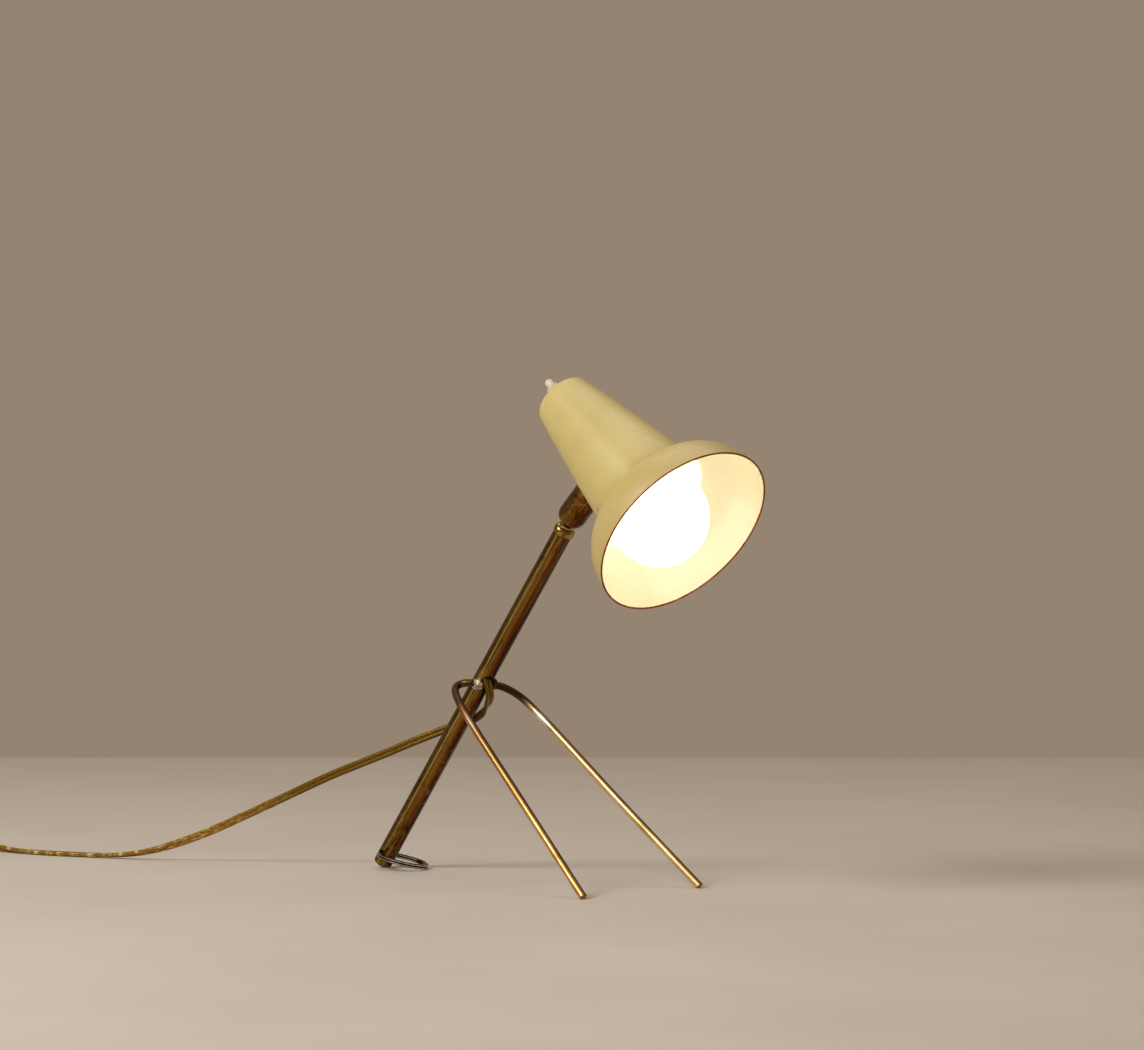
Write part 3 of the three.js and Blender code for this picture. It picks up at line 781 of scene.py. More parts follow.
def stem_material():
    """Old lacquered brass: olive at the back, rubbed gold lines, red-brown along the underside
    deepened by painted shade, and a painted highlight stripe down the tube.
    """
    g = Graph("stem_patina_painted_light", stem_frame, Metallic=1.0)
    x, y, z = g.split(g.object)
    across = 2 * STEM_R * MM
    side = g.add(g.mul(x, 0.771 / across), g.mul(y, 0.637 / across))
    drift = g.sub(g.noise((90, 90, 9), 4.0, 0.6), 0.5)
    side = g.add(g.add(side, 0.5), g.mul(drift, 0.16))
    # Across the tube: a painted highlight stripe near 0.27, then painted shade deepening to
    # red-brown and near black on the side facing right.
    g.colour = g.ramp(
        side,
        (0.02, (70, 52, 18)),
        (0.2, (98, 74, 28)),
        (0.27, (178, 150, 76)),
        (0.33, (76, 56, 18)),
        (0.44, (108, 76, 26)),
        (0.56, (126, 80, 24)),
        (0.66, (98, 36, 6)),
        (0.82, (66, 20, 4)),
        (1.0, (26, 10, 4)),
    )
    drawn = g.noise((900, 900, 14), 4.0, 0.65)
    g.lay(g.span(drawn, 0.44, 0.64, 0.0, 0.34), (188, 152, 82))
    stains = g.noise((420, 420, 60), 5.0, 0.7)
    g.lay(g.span(stains, 0.52, 0.7, 0.0, 0.8), (40, 26, 8))
    mottle = g.noise(190.0, 5.0, 0.65)
    low_down = g.span(z, 0.03, 0.15, 1.0, 0.15)
    blotch = g.mul(g.span(mottle, 0.5, 0.62), low_down)
    g.lay(g.mul(blotch, 0.55), (150, 116, 50))
    above_braze = g.size(g.sub(z, SMEAR_UP))
    on_left = g.size(g.sub(side, 0.3))
    near = g.span(above_braze, 0.001, 0.005, 1.0, 0.0)
    smear = g.mul(near, g.span(on_left, 0.08, 0.26, 1.0, 0.0))
    rubbed = g.mul(smear, g.span(mottle, 0.38, 0.52, 0.2, 0.9))
    g.lay(rubbed, (190, 152, 82))
    g.bump(g.add(drawn, g.mul(mottle, 0.5)), 0.00003)
    return g.done(g.span(mottle, 0.35, 0.65, 0.2, 0.38))


def stem_profile():
    """The tube's wall in short steps, with its two ends slightly rounded."""
    r, bore, top = STEM_R, STEM_BORE, STEM_TOP
    outside = [(r, z) for z in np.arange(1.2, top - 0.8, 2.6)]
    inside = [(bore, z) for z in np.arange(top - 0.8, 1.0, -6.5)]
    low = soften([(bore, 0), (r, 0), (r, 1.2)], 0.22, 3, closed=False)[1:-1]
    high = soften([(r, top - 1), (r, top), (bore, top)], 0.25, 3, closed=False)[1:-1]
    return [(bore, 0.0)] + low + outside + high + [(bore, top)] + inside


wall = lathe(stem_profile(), 80)
stem = piece("stem", wall, stem_material(), "stand", ("stem_tube",), stem_frame)
RING_HOLE_R = 3.3
CORD_HOLE_R = 3.5
CUT_REACH = 9
exit_dir = Vector((0.93, -0.3, -0.25)).normalized()
exit_frame = exit_dir.to_track_quat("Z", "Y").to_matrix().to_4x4()
exit_frame.translation = Vector(point(98.4, -1.9, 124.0)) - exit_dir * CUT_REACH / 2 * MM
ring_hole_frame = Matrix.Translation(RING_HOLE + STEM * 0.7 * MM)
ring_hole_frame = ring_hole_frame @ Matrix.Rotation(math.pi / 2, 4, "X")
ring_hole = lathe(plain_ring(0, RING_HOLE_R, -CUT_REACH, CUT_REACH), 48, False)
cord_hole = lathe(plain_ring(0, CORD_HOLE_R, 0, CUT_REACH), 48, False)
carve(stem, (ring_hole, ring_hole_frame), (cord_hole, exit_frame))
below_floor_off(stem)


CUP_R, CUP_BORE, CUP_TOP = 9.0, 6.9, 28.2


def cup_material():
    """Mottled brown brass, lighter on one side and redder and darker round towards its underside as
    painted shade.
    """
    g = Graph("mottled_brown_brass", cup_frame, Metallic=1.0)
    x, y, _ = g.split(g.object)
    across = 2 * CUP_R * MM
    side = g.add(g.mul(x, 0.81 / across), g.mul(y, 0.587 / across))
    cloud = g.noise(120.0, 5.0, 0.65)
    drift = g.mul(g.sub(cloud, 0.5), 0.5)
    # Painted light across the cup: a lighter band on the lit side, then painted shade going redder
    # and darker round towards the underside.
    g.colour = g.ramp(
        g.add(g.add(side, 0.5), drift),
        (0.0, (84, 56, 24)),
        (0.2, (136, 98, 48)),
        (0.45, (112, 74, 26)),
        (0.7, (102, 50, 12)),
        (1.0, (44, 18, 6)),
    )
    patches = g.noise((420, 420, 160), 4.0, 0.6)
    g.lay(g.span(patches, 0.52, 0.66, 0.0, 0.6), (170, 130, 70))
    dark = g.span(g.noise(260.0, 4.0, 0.7), 0.5, 0.64, 0.0, 0.75)
    g.lay(dark, (48, 28, 10))
    g.bump(cloud, 0.00005)
    return g.done(g.span(cloud, 0.35, 0.65, 0.36, 0.18))


cup_brass = cup_material()
tones = (92, 68, 28), (168, 132, 70), (232, 206, 150)
dome_brass = metal("ferrule_brass", tones, (500, 500, 200), stud_frame, rough=(0.12, 0.3))
tones = (140, 108, 54), (188, 152, 82), (226, 194, 122)
bright_brass = metal("bright_brass", tones, (700, 700, 260), rough=(0.18, 0.34))
tones = (120, 116, 110), (176, 172, 166), (220, 217, 212)
polished_steel = metal("polished_steel", tones, (700, 700, 260), spots=420.0, rough=(0.12, 0.3))

FERRULE_R, FERRULE_BORE = 6.65, 4.7
BALL_R, STUD_R, STUD_BORE = 6.0, 2.6, 1.5
ferrule_profile = [
    (2.9, -26),
    (FERRULE_BORE, -26),
    (FERRULE_BORE, -14.6),
    (FERRULE_R - 0.35, -14.6),
    (FERRULE_R, -14.2),
    (FERRULE_R, -12.4),
    *arc(3.4, -12.4, 3.25, 8, 66, 12),
    *arc(0, 0, 9.25, -57, -72, 5),
]
ferrule = turned(ferrule_profile, 96, 0.18)
piece("ferrule", ferrule, dome_brass, "stand", ("stem_ferrule",), stud_frame)
ball_profile = [(STUD_BORE, -31), (STUD_R, -31), (STUD_R, -6.4), *arc(0, 0, BALL_R, -64, 70, 36)]
ball = turned([*ball_profile, (STUD_BORE, 5.2)], 72, 0.25)
piece("ball", ball, polished_steel, "stud", ("ball_stud",), stud_frame)


# ---- legs and brazing

LEG_HEIGHT = 122.0
LEG_ROUTE = [
    (92.0, 7.9, LEG_HEIGHT + 0.5),
    (88.6, 8.5, LEG_HEIGHT + 0.5),
    (85.4, 9.7, LEG_HEIGHT + 0.3),
    (83.3, 12.4, 121.3),
    (84.6, 16.2, 119.4),
    (89.1, 20.4, 116.9),
    (98.9, 25.9, 111.0),
    (113.9, 30.0, 99.7),
    (174.7, 39.5, 50.4),
    (235.6, 49.1, 1.0),
]
# Bent by hand: the left leg's bend stands a little higher than the right one's, by stop and mm.
BEND_LIFT = {3: 0.4, 4: 1.0, 5: 2.0, 6: 2.0, 7: 1.1}
ROD_R = 2.4
ROD_SIDES = 28
# Which way the side of the rods with painted shade faces. A rod's UV holds how far a point
# is turned that way, and how far down the rod it lies.
ROD_SHADED = Vector((0.64 * math.cos(YAW), 0.64 * math.sin(YAW), 0.77))


def rod_material(name, tones, dark, highlight_strength, brown_to):
    """Drawn brass rod: brown round the bend, painted shade on its upper side, a painted highlight
    below the bend.
    """
    g = Graph(name, Metallic=1.0)
    along = g.noise((0.5, 0.02, 1.0), 4.0, 0.55, g.uv)
    cloud = g.noise(60.0, 4.0, 0.6)
    speck = g.noise(900.0, 3.0, 0.65)
    tone = g.add(g.mul(along, 0.5), g.mul(cloud, 0.5))
    g.colour = g.ramp(tone, (0.36, tones[0]), (0.5, tones[1]), (0.62, tones[2]))
    turned_up, run, _ = g.split(g.uv)
    # Brown round the bend, fading down the rod: partly aged patina, partly painted shade, leaving
    # the lower rod paler as if lit.
    far_down = g.div(g.add(run, g.mul(cloud, 16.0)), 220.0)
    browns = (0.0, 1.0), (0.2, 0.95), (0.26, 0.1 + brown_to), (0.5, brown_to), (0.7, 0.0)
    g.lay(g.ramp(far_down, *browns), dark)
    # Painted highlight: a pale band a little below the bend.
    from_highlight = g.size(g.sub(far_down, 0.285))
    g.lay(g.span(from_highlight, 0.0, 0.04, highlight_strength, 0.0), (255, 250, 238))
    pits = g.span(speck, 0.62, 0.76, 0.0, 0.2)
    g.lay(pits, (74, 50, 26))
    # Painted shade along the side of the rod that faces ROD_SHADED.
    painted_shade_side = g.span(g.add(g.mul(turned_up, 0.1), 0.5), 0.66, 0.86, 0.0, 0.85)
    g.lay(painted_shade_side, (46, 28, 10))
    g.bump(g.add(along, g.mul(cloud, 0.3)), 0.000004)
    return g.done(g.span(tone, 0.36, 0.64, 0.44, 0.32))


# One brass tuned two ways for the light on each rod: the left rod with a strong painted highlight,
# the right one browner with a faint one.
olive_tones = ((172, 136, 84), (220, 184, 128), (246, 220, 172))
brown_tones = ((170, 122, 66), (214, 164, 98), (242, 202, 140))
far_rod = rod_material("olive_brass_rod", olive_tones, (62, 42, 18), 0.9, 0.0)
near_rod = rod_material("brown_brass_rod", brown_tones, (96, 66, 34), 0.2, 0.45)

for side, sign, rod_metal in (("left", 1, far_rod), ("right", -1, near_rod)):
    lifted = BEND_LIFT if sign > 0 else {}
    stops = [point(x, sign * y, z + lifted.get(k, 0)) for k, (x, y, z) in enumerate(LEG_ROUTE)]
    line = spline(stops, 0.0012)
    verts, faces, uvs = sweep(line, circle(ROD_R * MM, ROD_SIDES))
    off_line = verts - np.repeat(line, ROD_SIDES, axis=0)
    turned_up = off_line @ np.array(ROD_SHADED) / (ROD_R * MM)
    leg = piece(
        f"leg_{side}_rod",
        (verts, faces, [(5 * up, run) for up, (_, run) in zip(turned_up, uvs)]),
        rod_metal,
        "stand",
        (f"leg_{side}",),
        degrees=50,
    )
    below_floor_off(leg)


def solder_material(name, *tones):
    """Lumpy hard solder in cloudy tones."""
    g = Graph(name, Metallic=1.0)
    cloud = g.noise(420.0, 5.0, 0.65)
    g.bump(cloud, 0.0002)
    g.colour = g.ramp(cloud, *zip((0.34, 0.46, 0.6, 0.7), tones))
    return g.done(g.span(cloud, 0.35, 0.65, 0.6, 0.34))


# One solder twice: the right braze as lit, the left one, behind the stem, darkened as painted
# shade.
bright_solder = solder_material(
    "silver_braze", (96, 72, 40), (156, 140, 108), (206, 200, 188), (240, 238, 232)
)
shaded_solder = solder_material(
    "shaded_braze", (46, 30, 12), (66, 44, 20), (92, 66, 34), (120, 92, 54)
)


BEAD_X, BEAD_Y, BEAD_Z = 4.1, 3.1, 3.5
RUN_OUT = 1.4


def braze_shape(sign):
    """A run-out bead where the rod meets the tube, lumpy and drawn down the tube."""
    bm = bmesh.new()
    bmesh.ops.create_icosphere(bm, subdivisions=5, radius=1.0)
    centre = Vector((BRAZE_AT.x, sign * BRAZE_AT.y, BRAZE_AT.z))
    for v in bm.verts:
        d = v.co.normalized()
        lump = noise.fractal(d * 1.9 + Vector((3.1 * sign, 0.7, 5.0)), 0.9, 2.1, 4)
        d = d * (1 + 0.2 * lump)
        run_out = RUN_OUT * max(0.0, -d.z) * STEM
        v.co = centre + (Vector((d.x * BEAD_X, d.y * BEAD_Y, d.z * BEAD_Z)) - run_out) * MM
    return mesh_of(bm)


for side, sign, solder in (("left", 1, shaded_solder), ("right", -1, bright_solder)):
    bead = braze_shape(sign)
    piece(f"braze_{side}_bead", bead, solder, "stand", (f"braze_{side}",), degrees=80)


# ---- hanging ring

RING_R = 15.6
WIRE_WIDE, WIRE_HIGH, WIRE_CORNER = 2.2, 1.45, 0.42
TURN_OFF = 0.76  # how far each turn's middle lies from the ring's own plane
WIRE_END = math.radians(62)
STEP_FROM, STEP_LONG = 0.47, 0.06  # where along the wire it steps over, and over how much
RING_DROP = math.radians(11.3)
RING_ROLL = math.radians(-8)
ring_way = Vector((math.cos(RING_DROP), 0, -math.sin(RING_DROP)))
ring_frame = Matrix((ring_way, YAXIS, ring_way.cross(YAXIS))).transposed().to_4x4()
ring_frame = ring_frame @ Matrix.Rotation(RING_ROLL, 4, "X")
ring_frame.translation = RING_HOLE + ring_way * RING_R * MM


def ring_shape(steps=260, turns=1.984):
    """Two turns of flat wire lying on each other, stepping from one to the other at one place."""
    path, wide = [], []
    for k in range(steps + 1):
        t = k / steps
        a = WIRE_END + 2 * math.pi * turns * t
        z = -TURN_OFF + 2 * TURN_OFF * eased((t - STEP_FROM) / STEP_LONG)
        path.append((RING_R * MM * math.cos(a), RING_R * MM * math.sin(a), z * MM))
        wide.append((math.cos(a), math.sin(a), 0))
    section = in_metres(rounded_box(WIRE_WIDE, WIRE_HIGH, WIRE_CORNER, 4))
    return sweep(np.array(path), section, np.array(wide))


def ring_material():
    """Nickel with painted light: painted highlights on the crowns of the two turns, painted shade
    in the gap and along the edges.
    """
    g = Graph("nickel_painted_light", ring_frame, Metallic=1.0)
    _, _, z = g.split(g.object)
    wear_and_shade = g.noise(320.0, 4.0, 0.65)
    off = g.size(g.sub(g.size(z), TURN_OFF * MM))
    # Painted highlight on each turn's crown, painted shade towards the gap between the turns and
    # the edges.
    g.colour = g.ramp(
        g.add(g.div(off, TURN_OFF * MM), g.mul(wear_and_shade, 0.5)),
        (0.25, (246, 242, 234)),
        (0.5, (140, 130, 114)),
        (0.8, (40, 33, 25)),
        (1.1, (14, 11, 8)),
    )
    g.bump(wear_and_shade, 0.00004)
    return g.done(g.span(wear_and_shade, 0.35, 0.65, 0.14, 0.3))


ring = ring_shape()
piece("split_ring", ring, ring_material(), "ring", ("hanging_ring",), ring_frame, 50)


# ---- shade

SHADE_LENGTH = 133.1
RIM_R = 59.0
WALL = 0.9


# The outline's control points, as (radius, distance from the small end).
CONE = (18.8, 4.2), (28.1, 51.4), (35.0, 99.1)
CONE_STEPS = 28


def shade_outline(grow):
    """The shade's wall as (radius, distance from its small end), grown outwards."""
    cone = []
    for k in range(CONE_STEPS + 1):
        t = k / CONE_STEPS
        weights = (1 - t) ** 2, 2 * t * (1 - t), t * t
        r, z = (sum(w * at[i] for w, at in zip(weights, CONE)) for i in (0, 1))
        cone.append((r + grow, z))
    bell = bezier(
        (35.4 + grow, 101.1),
        (46 + grow, 103.6 - grow),
        (57.5 + grow, 111.6 - grow),
        (RIM_R + grow, SHADE_LENGTH),
        36,
    )
    back = [(9.5, -grow), (17.9 + grow, -grow + 0.6), (18.8 + grow, 4.2)]
    return soften(back, 5.0, 14, closed=False)[:-1] + soften(cone + bell, 1.6, 6, closed=False)


def shade_shape(sides=176, bore=5.4):
    """The spun wall, open at the back for the switch, with a bead round its rim."""
    outside = [(bore, 0.0)] + shade_outline(0)
    inside = ([(bore, WALL)] + shade_outline(-WALL))[::-1]
    lip = arc(RIM_R - WALL / 2, SHADE_LENGTH - 0.15, WALL / 2 + 0.12, -20, 200, 9)
    return lathe(outside[:-1] + lip + inside[1:], sides)


# The middle of one scraped patch, and how far the waist lies from the small end, in metres.
SCRAPE = (0.0160, -0.0300, 0.0950)
WAIST = 0.1005


def enamel(name, tones, wear_and_shade, coat, gloss):
    """Stoved enamel: faint clouding, dark specks, hairline scuffs, and painted shade along the
    waist crease.
    """
    g = Graph(name, shade_frame, Coat_Weight=coat, Coat_Roughness=gloss)
    x, y, z = g.split(g.object)
    cloud = g.noise(26.0, 5.0, 0.6)
    grain = g.noise(260.0, 4.0, 0.65)
    tone = g.add(g.mul(cloud, 0.75), g.mul(grain, 0.25))
    low, mid, high = tones
    g.colour = g.ramp(tone, (0.36, low), (0.5, mid), (0.64, high))
    speck = g.span(g.noise(620.0, 2.0, 0.5), 0.70, 0.76)
    sparse = g.span(g.noise(70.0, 3.0, 0.6), 0.52, 0.66)
    g.lay(g.mul(g.mul(speck, sparse), wear_and_shade), (120, 84, 36))
    hairs = g.noise((900, 120, 60), 3.0, 0.6)
    scuff = g.span(hairs, 0.63, 0.72)
    g.lay(g.mul(g.mul(scuff, sparse), 0.35 * wear_and_shade), (138, 106, 50))
    # Painted shade along the crease at the waist, made patchy.
    waist_shade = g.span(g.size(g.sub(z, WAIST)), 0.0, 0.009, 1.0, 0.0)
    patchy = g.span(cloud, 0.4, 0.6, 0.15, 0.8)
    g.lay(g.mul(waist_shade, g.mul(patchy, wear_and_shade)), (142, 108, 50))
    away = [g.size(g.sub(v, at)) for v, at in zip((x, y, z), SCRAPE)]
    apart = g.add(g.add(away[0], away[1]), g.mul(away[2], 0.6))
    bared = g.span(grain, 0.42, 0.58)
    scrape = g.mul(g.span(apart, 0.002, 0.009, 0.55, 0.0), bared)
    g.lay(g.mul(scrape, wear_and_shade), (104, 70, 26))
    bell = g.span(z, 0.098, 0.118, 0.0, 0.32)
    g.lay(g.mul(bell, wear_and_shade), (176, 146, 86))
    g.bump(g.add(grain, g.mul(scuff, -0.4)), 0.00004)
    return g.done(g.span(grain, 0.35, 0.65, 0.46, 0.34))


tones = (194, 178, 112), (200, 184, 119), (206, 191, 128)
butter = enamel("butter_enamel", tones, wear_and_shade=1.0, coat=0.12, gloss=0.28)
tones = (232, 221, 180), (236, 226, 187), (240, 231, 194)
cream = enamel("cream_enamel", tones, wear_and_shade=0.15, coat=1.0, gloss=0.16)
tones = (88, 34, 8), (150, 72, 26), (196, 116, 60)
rim_metal = metal(
    "bare_copper_rim", tones, (220, 220, 220), shade_frame, rough=(0.34, 0.55), metallic=0.7
)

skins = [butter, cream, rim_metal]
shade = shade_shape()
shade = piece("shade_spun", shade, skins, "head", ("shade",), shade_frame, 40)
INSIDE, RIM = 1, 2
BACK_END = 6  # faces nearer the small end than this look backwards, not outwards
to_shade = shade_frame.inverted()
for face in shade.data.polygons:
    c = to_shade @ face.center / MM
    normal = to_shade.to_3x3() @ face.normal
    out = Vector((c.x, c.y, -8.0 if c.z < BACK_END else 0.0))
    if c.z > SHADE_LENGTH - 0.28 and math.hypot(c.x, c.y) > RIM_R - 1.6:
        face.material_index = RIM
    elif normal.dot(out) < 0:
        face.material_index = INSIDE


# ---- swivel cup

MOUTH = 58.0 - 90.0
SEAT_R = 6.35
cup_profile = [
    *arc(0, 0, CUP_R, MOUTH, 0, 20),
    *[(CUP_R, z) for z in np.linspace(2, CUP_TOP, 14)],
    (CUP_BORE, CUP_TOP),
    (CUP_BORE, 0),
    *arc(0, 0, SEAT_R, 0, MOUTH, 14),
]
cup_wall = lathe(cup_profile, 96)
cup = piece("cup_bullet", cup_wall, cup_brass, "head", ("swivel_cup",), cup_frame)
envelope = [(0, -0.1)] + shade_outline(0.1) + [(0, SHADE_LENGTH)]
carve(cup, (lathe(envelope, 96, False), shade_frame))


def hex_nut(bore, flats, low, high):
    """A nut: a round outline cut to six sides where it reaches past the flats."""
    corner = flats / math.sqrt(3)

    def cut(angle, r):
        part = (angle + math.pi / 6) % (math.pi / 3) - math.pi / 6
        return min(r, flats / 2 / math.cos(part)) - r

    profile = [(bore, low), (corner - 0.5, low), (corner, low + 0.35)]
    profile += [(corner, high - 0.35), (corner - 0.5, high), (bore, high)]
    return lathe(profile, wobble=cut)


def set_in(rows, frame, body="head"):
    """New pieces on one frame. Each stands for the node named, or for its own name less _fine."""
    for name, shape, material, slot, *node in rows:
        piece(name, shape, material, body, node or [name.removesuffix("_fine")], frame)


nipple = [(2.0, 7.1), (6.6, 7.1), (6.6, 11), (3.2, 11), (3.2, 27.2), (2.0, 27.2)]
nipple = turned(nipple, 64)
nipple_washer = turned(plain_ring(3.5, 5.6, 24.6, 25.2), 64, 0.15)
nipple_nut = hex_nut(3.6, 9.4, 25.5, 27.0)
stud_nut = hex_nut(2.9, 7.6, -30.2, -27.4)
cup_rows = [
    ("nipple", nipple, bright_brass, "bright_brass", "cup_nipple"),
    ("nipple_washer_fine", nipple_washer, polished_steel, "steel"),
    ("nipple_locknut_fine", nipple_nut, bright_brass, "bright_brass"),
]
set_in(cup_rows, cup_frame)
set_in([("stud_nut_fine", stud_nut, bright_brass, "bright_brass")], stud_frame, "stud")


# ---- switch


def thread(low, high, pitch, crest, root):
    """The zigzag outline of a screwed stretch."""
    out = []
    count = int((high - low) / pitch)
    for k in range(count):
        z = low + k * pitch
        out += [(root, z), (crest, z + pitch * 0.5)]
    return out + [(root, low + count * pitch)]


KNURLS, KNURL_DEPTH, KNURLED_FROM = 24, 0.22, 7.4


def knurl(angle, r):
    """Shallow grooves all round the ring nut's rim."""
    return -KNURL_DEPTH * (0.5 - 0.5 * math.cos(KNURLS * angle)) if r > KNURLED_FROM else 0.0


button_profile = [(0, -17.8), (1.9, -17.75), (2.6, -16.9), (2.6, 3.6), (4.2, 3.6), (4.2, 5), (0, 5)]
bushing_profile = [
    (2.9, -12.1),
    (3.3, -12.1),
    (4.6, -10.9),
    *thread(-10.2, -0.6, 0.8, 4.6, 4.25),
    (4.6, 2.8),
    (8.5, 2.8),
    (8.5, 15),
    (1.2, 15),
    (1.2, 8.3),
    (4.6, 8.3),
    (4.6, 3.2),
    (2.9, 3.2),
]
nut_profile = [(4.9, -3.8), (7.6, -3.8), (8.2, -3.2), (8.2, -0.9), (4.9, -0.9)]
button = turned(button_profile, 72, 0.5)
bushing = turned(bushing_profile, 72, 0.2)
ring_nut = turned(nut_profile, 144, 0.3, knurl)
set_in([("push_button", button, white, "white_plastic", "switch_button")], holder_frame, "button")
switch_rows = [
    ("switch_bushing", bushing, white, "white_plastic", "switch_body"),
    ("switch_ring_nut", ring_nut, white, "white_plastic", "switch_nut"),
]
set_in(switch_rows, holder_frame)


# ---- lamp holder and bulb

tones = (40, 26, 18), (58, 38, 26), (80, 54, 38)
phenolic = plastic("brown_phenolic", tones, rough=(0.28, 0.46), coat=0.3)
tones = (224, 219, 208), (236, 232, 222), (244, 241, 233)
porcelain = plastic("glazed_porcelain", tones, rough=(0.14, 0.24), coat=0.6)
tones = (18, 16, 22), (30, 28, 36), (46, 44, 54)
black_glass = plastic("black_glass", tones, rough=(0.1, 0.2), coat=0.8)
HOLDER_R, HOLDER_BORE = 16.4, 14.3
CAP_WALL = 1.7
CAP_TOP = 28.6
SOCKET_LOW, SOCKET_TOP = CAP_TOP + 0.3, 57.6
cap_profile = [
    (9.9, 3.2),
    (13.2, 8.5),
    (15.7, 17),
    (HOLDER_R, 24),
    (HOLDER_R, CAP_TOP),
    (HOLDER_R - CAP_WALL, CAP_TOP),
    (HOLDER_R - CAP_WALL, 24.4),
    (14.1, 17.5),
    (11.7, 9.5),
    (8.9, 4.6),
]
socket_profile = [
    (HOLDER_BORE, SOCKET_LOW),
    (HOLDER_R, SOCKET_LOW),
    *[(HOLDER_R - (0.45 if k % 2 else 0.0), CAP_TOP + 6 + 2.2 * k) for k in range(9)],
    (HOLDER_R, SOCKET_TOP - 1),
    (HOLDER_R - 0.8, SOCKET_TOP),
    (HOLDER_BORE, SOCKET_TOP),
]
SCREW_PITCH = 3.63
base_profile = [(7.4, 39.0), (9.6, 39.0), (12.3, 39.6)]
for k in range(5):
    mid = 41.6 + SCREW_PITCH * k
    base_profile += [(12.3, mid - 1.8), (12.7, mid - 0.9), (13.15, mid), (12.7, mid + 0.9)]
base_profile += [(12.8, 59.6), (12.2, 59.6), (11.7, 41.2), (7.4, 40.0)]
contact_profile = [(0, 35.5), (2.8, 35.9), (4, 36.7), (4, 37.8), (0, 37.8)]
insulator_profile = [(4.3, 36.5), (7.1, 38.8), (7.1, 40.2), (4.3, 40.2)]

cap = turned(cap_profile, 96, 0.5)
socket = turned(socket_profile, 96, 0.4)
block = turned(plain_ring(0, 13.9, 21.6, 32.2), 72, 0.6)
shell = turned(plain_ring(13.55, 13.9, 34, SOCKET_TOP - 1.5), 96, 0.1)
base = turned(base_profile, 96, 0.5)
contact = turned(contact_profile, 48, 0.4)
insulator = turned(insulator_profile, 64, 0.3)
holder_rows = [
    ("holder_cap_fine", cap, phenolic, "brown_phenolic"),
    ("socket_body_fine", socket, phenolic, "brown_phenolic"),
    ("terminal_block_fine", block, porcelain, "porcelain"),
    ("screw_shell_fine", shell, bright_brass, "bright_brass"),
    ("bulb_base_fine", base, polished_steel, "steel"),
    ("bulb_contact_fine", contact, bright_solder, "solder"),
    ("bulb_insulator_fine", insulator, black_glass, "black_glass"),
]
set_in(holder_rows, holder_frame)

BULB_R = 30.0
BULB_CENTRE = 111.9
BULB_NECK = 59.6
GLASS = 0.9
CHEEK_ENDS = 0.35  # radians below the globe's widest circle
GLOBE_STARTS = math.asin(0.21)


def globe_outline(inset):
    """The bulb from its neck to the middle of its front, set in from the outer surface."""
    r = BULB_R - inset
    cheek = bezier(
        (14.2 - inset, BULB_NECK + 1.6),
        (17.0 - inset, BULB_NECK + 14),
        (24.5 - inset, BULB_NECK + 24),
        (r * math.cos(CHEEK_ENDS), BULB_CENTRE - BULB_R * math.sin(CHEEK_ENDS)),
        24,
    )
    front = arc(0, BULB_CENTRE, r, -math.degrees(GLOBE_STARTS), 90, 40)
    return [(13.2 - inset, BULB_NECK + 0.3), *cheek, *front]


def glass_material():
    """A lit frosted bulb: even white light, a little warmer and dimmer at its neck."""
    g = Graph("lit_frosted_glass", holder_frame, Emission_Strength=2.3)
    _, _, z = g.split(g.object)
    frost = g.noise(900.0, 3.0, 0.6)
    glow = g.ramp(z, (0.062, (255, 246, 226)), (0.085, (255, 250, 238)), (0.105, (255, 253, 248)))
    g.bump(frost, 0.00002)
    return g.set(
        Base_Color=g.ramp(frost, (0.4, (236, 234, 228)), (0.6, (248, 246, 240))),
        Roughness=g.span(frost, 0.4, 0.6, 0.5, 0.62),
        Emission_Color=glow,
    )


piece(
    "bulb_globe_frosted",
    lathe(globe_outline(0) + globe_outline(GLASS)[::-1], 112),
    glass_material(),
    "head",
    ("bulb_globe",),
    holder_frame,
    50,
)


# ---- inner pieces of the model

tones = (120, 94, 36), (164, 134, 62), (196, 166, 90)
inner_vinyl = plastic("inner_lead_vinyl", tones, rough=(0.2, 0.34), coat=0.8)
kept = {
    "stud_washer": polished_steel,
    "ball_seat": bright_brass,
    "seat_spring": polished_steel,
    "centre_contact": bright_brass,
    "stem_lead": inner_vinyl,
    "ball_lead": inner_vinyl,
    "holder_lead": inner_vinyl,
}
for name, material in kept.items():
    mesh = nodes[name].data
    mesh.materials.clear()
    mesh.materials.append(material)


# ---- floor, light, world

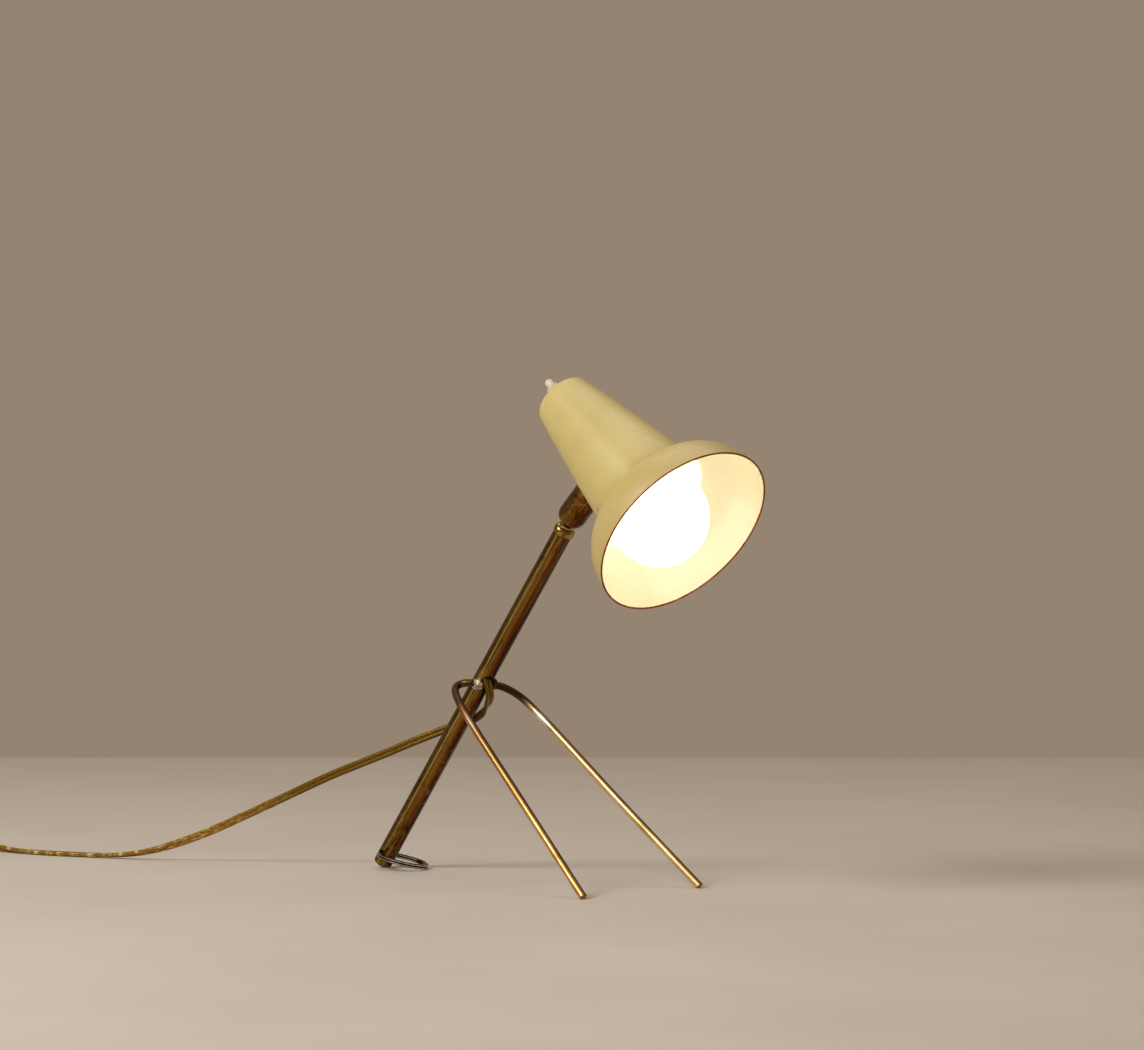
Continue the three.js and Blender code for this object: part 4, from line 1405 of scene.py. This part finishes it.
FLOOR_HALF = 1.25
FLOOR_LEVEL = -0.0003
bm = bmesh.new()
bmesh.ops.create_grid(bm, x_segments=8, y_segments=8, size=FLOOR_HALF)
floor_mesh = bpy.data.meshes.new("floor")
bm.to_mesh(floor_mesh)
bm.free()
floor = bpy.data.objects.new("floor", floor_mesh)
scene.collection.objects.link(floor)
floor.location = (0, 0, FLOOR_LEVEL)
floor.rotation_euler = (0, 0, YAW)
g = Graph("pale_floor")
shades = g.noise(5.0, 4.0, 0.5)
fine = g.noise(60.0, 3.0, 0.5)
g.set(
    Base_Color=g.ramp(shades, (0.3, (196, 188, 178)), (0.7, (202, 195, 186))),
    Roughness=g.span(fine, 0.3, 0.7, 0.55, 0.62),
)
floor_mesh.materials.append(g.material)

world = bpy.data.worlds.new("studio")
scene.world = world
world.use_nodes = True
sky = world.node_tree.nodes["Background"]
sky.inputs["Color"].default_value = (*srgb(149, 132, 113), 1)
sky.inputs["Strength"].default_value = 1.0

RIGHT = Vector((math.cos(YAW), math.sin(YAW), 0))
TOWARD = Vector((math.sin(YAW), -math.cos(YAW), 0))
MIDDLE = FOOT + Vector((0.14, 0, 0.17))


def area_light(name, right, toward, up, size, power, colour):
    """A square light placed from the lamp's middle, in metres, and turned to face it."""
    data = bpy.data.lights.new(name, "AREA")
    data.shape = "RECTANGLE"
    data.size = data.size_y = size
    data.energy = power
    data.color = colour
    lamp = bpy.data.objects.new(name, data)
    scene.collection.objects.link(lamp)
    place = RIGHT * right + TOWARD * toward + Vector((0, 0, up))
    lamp.location = MIDDLE + place
    lamp.rotation_euler = (-place).to_track_quat("-Z", "Y").to_euler()


area_light("key", -1.3, 0.9, 1.2, 0.8, 30.0, (1.0, 0.97, 0.93))
area_light("fill", 1.6, 1.2, 0.6, 1.2, 3.0, (1.0, 0.95, 0.9))
area_light("top", 0.0, -0.6, 2.0, 1.6, 9.0, (1.0, 0.98, 0.95))

scene.view_settings.view_transform = "Standard"
scene.view_settings.look = "None"
scene.view_settings.exposure = 0.0
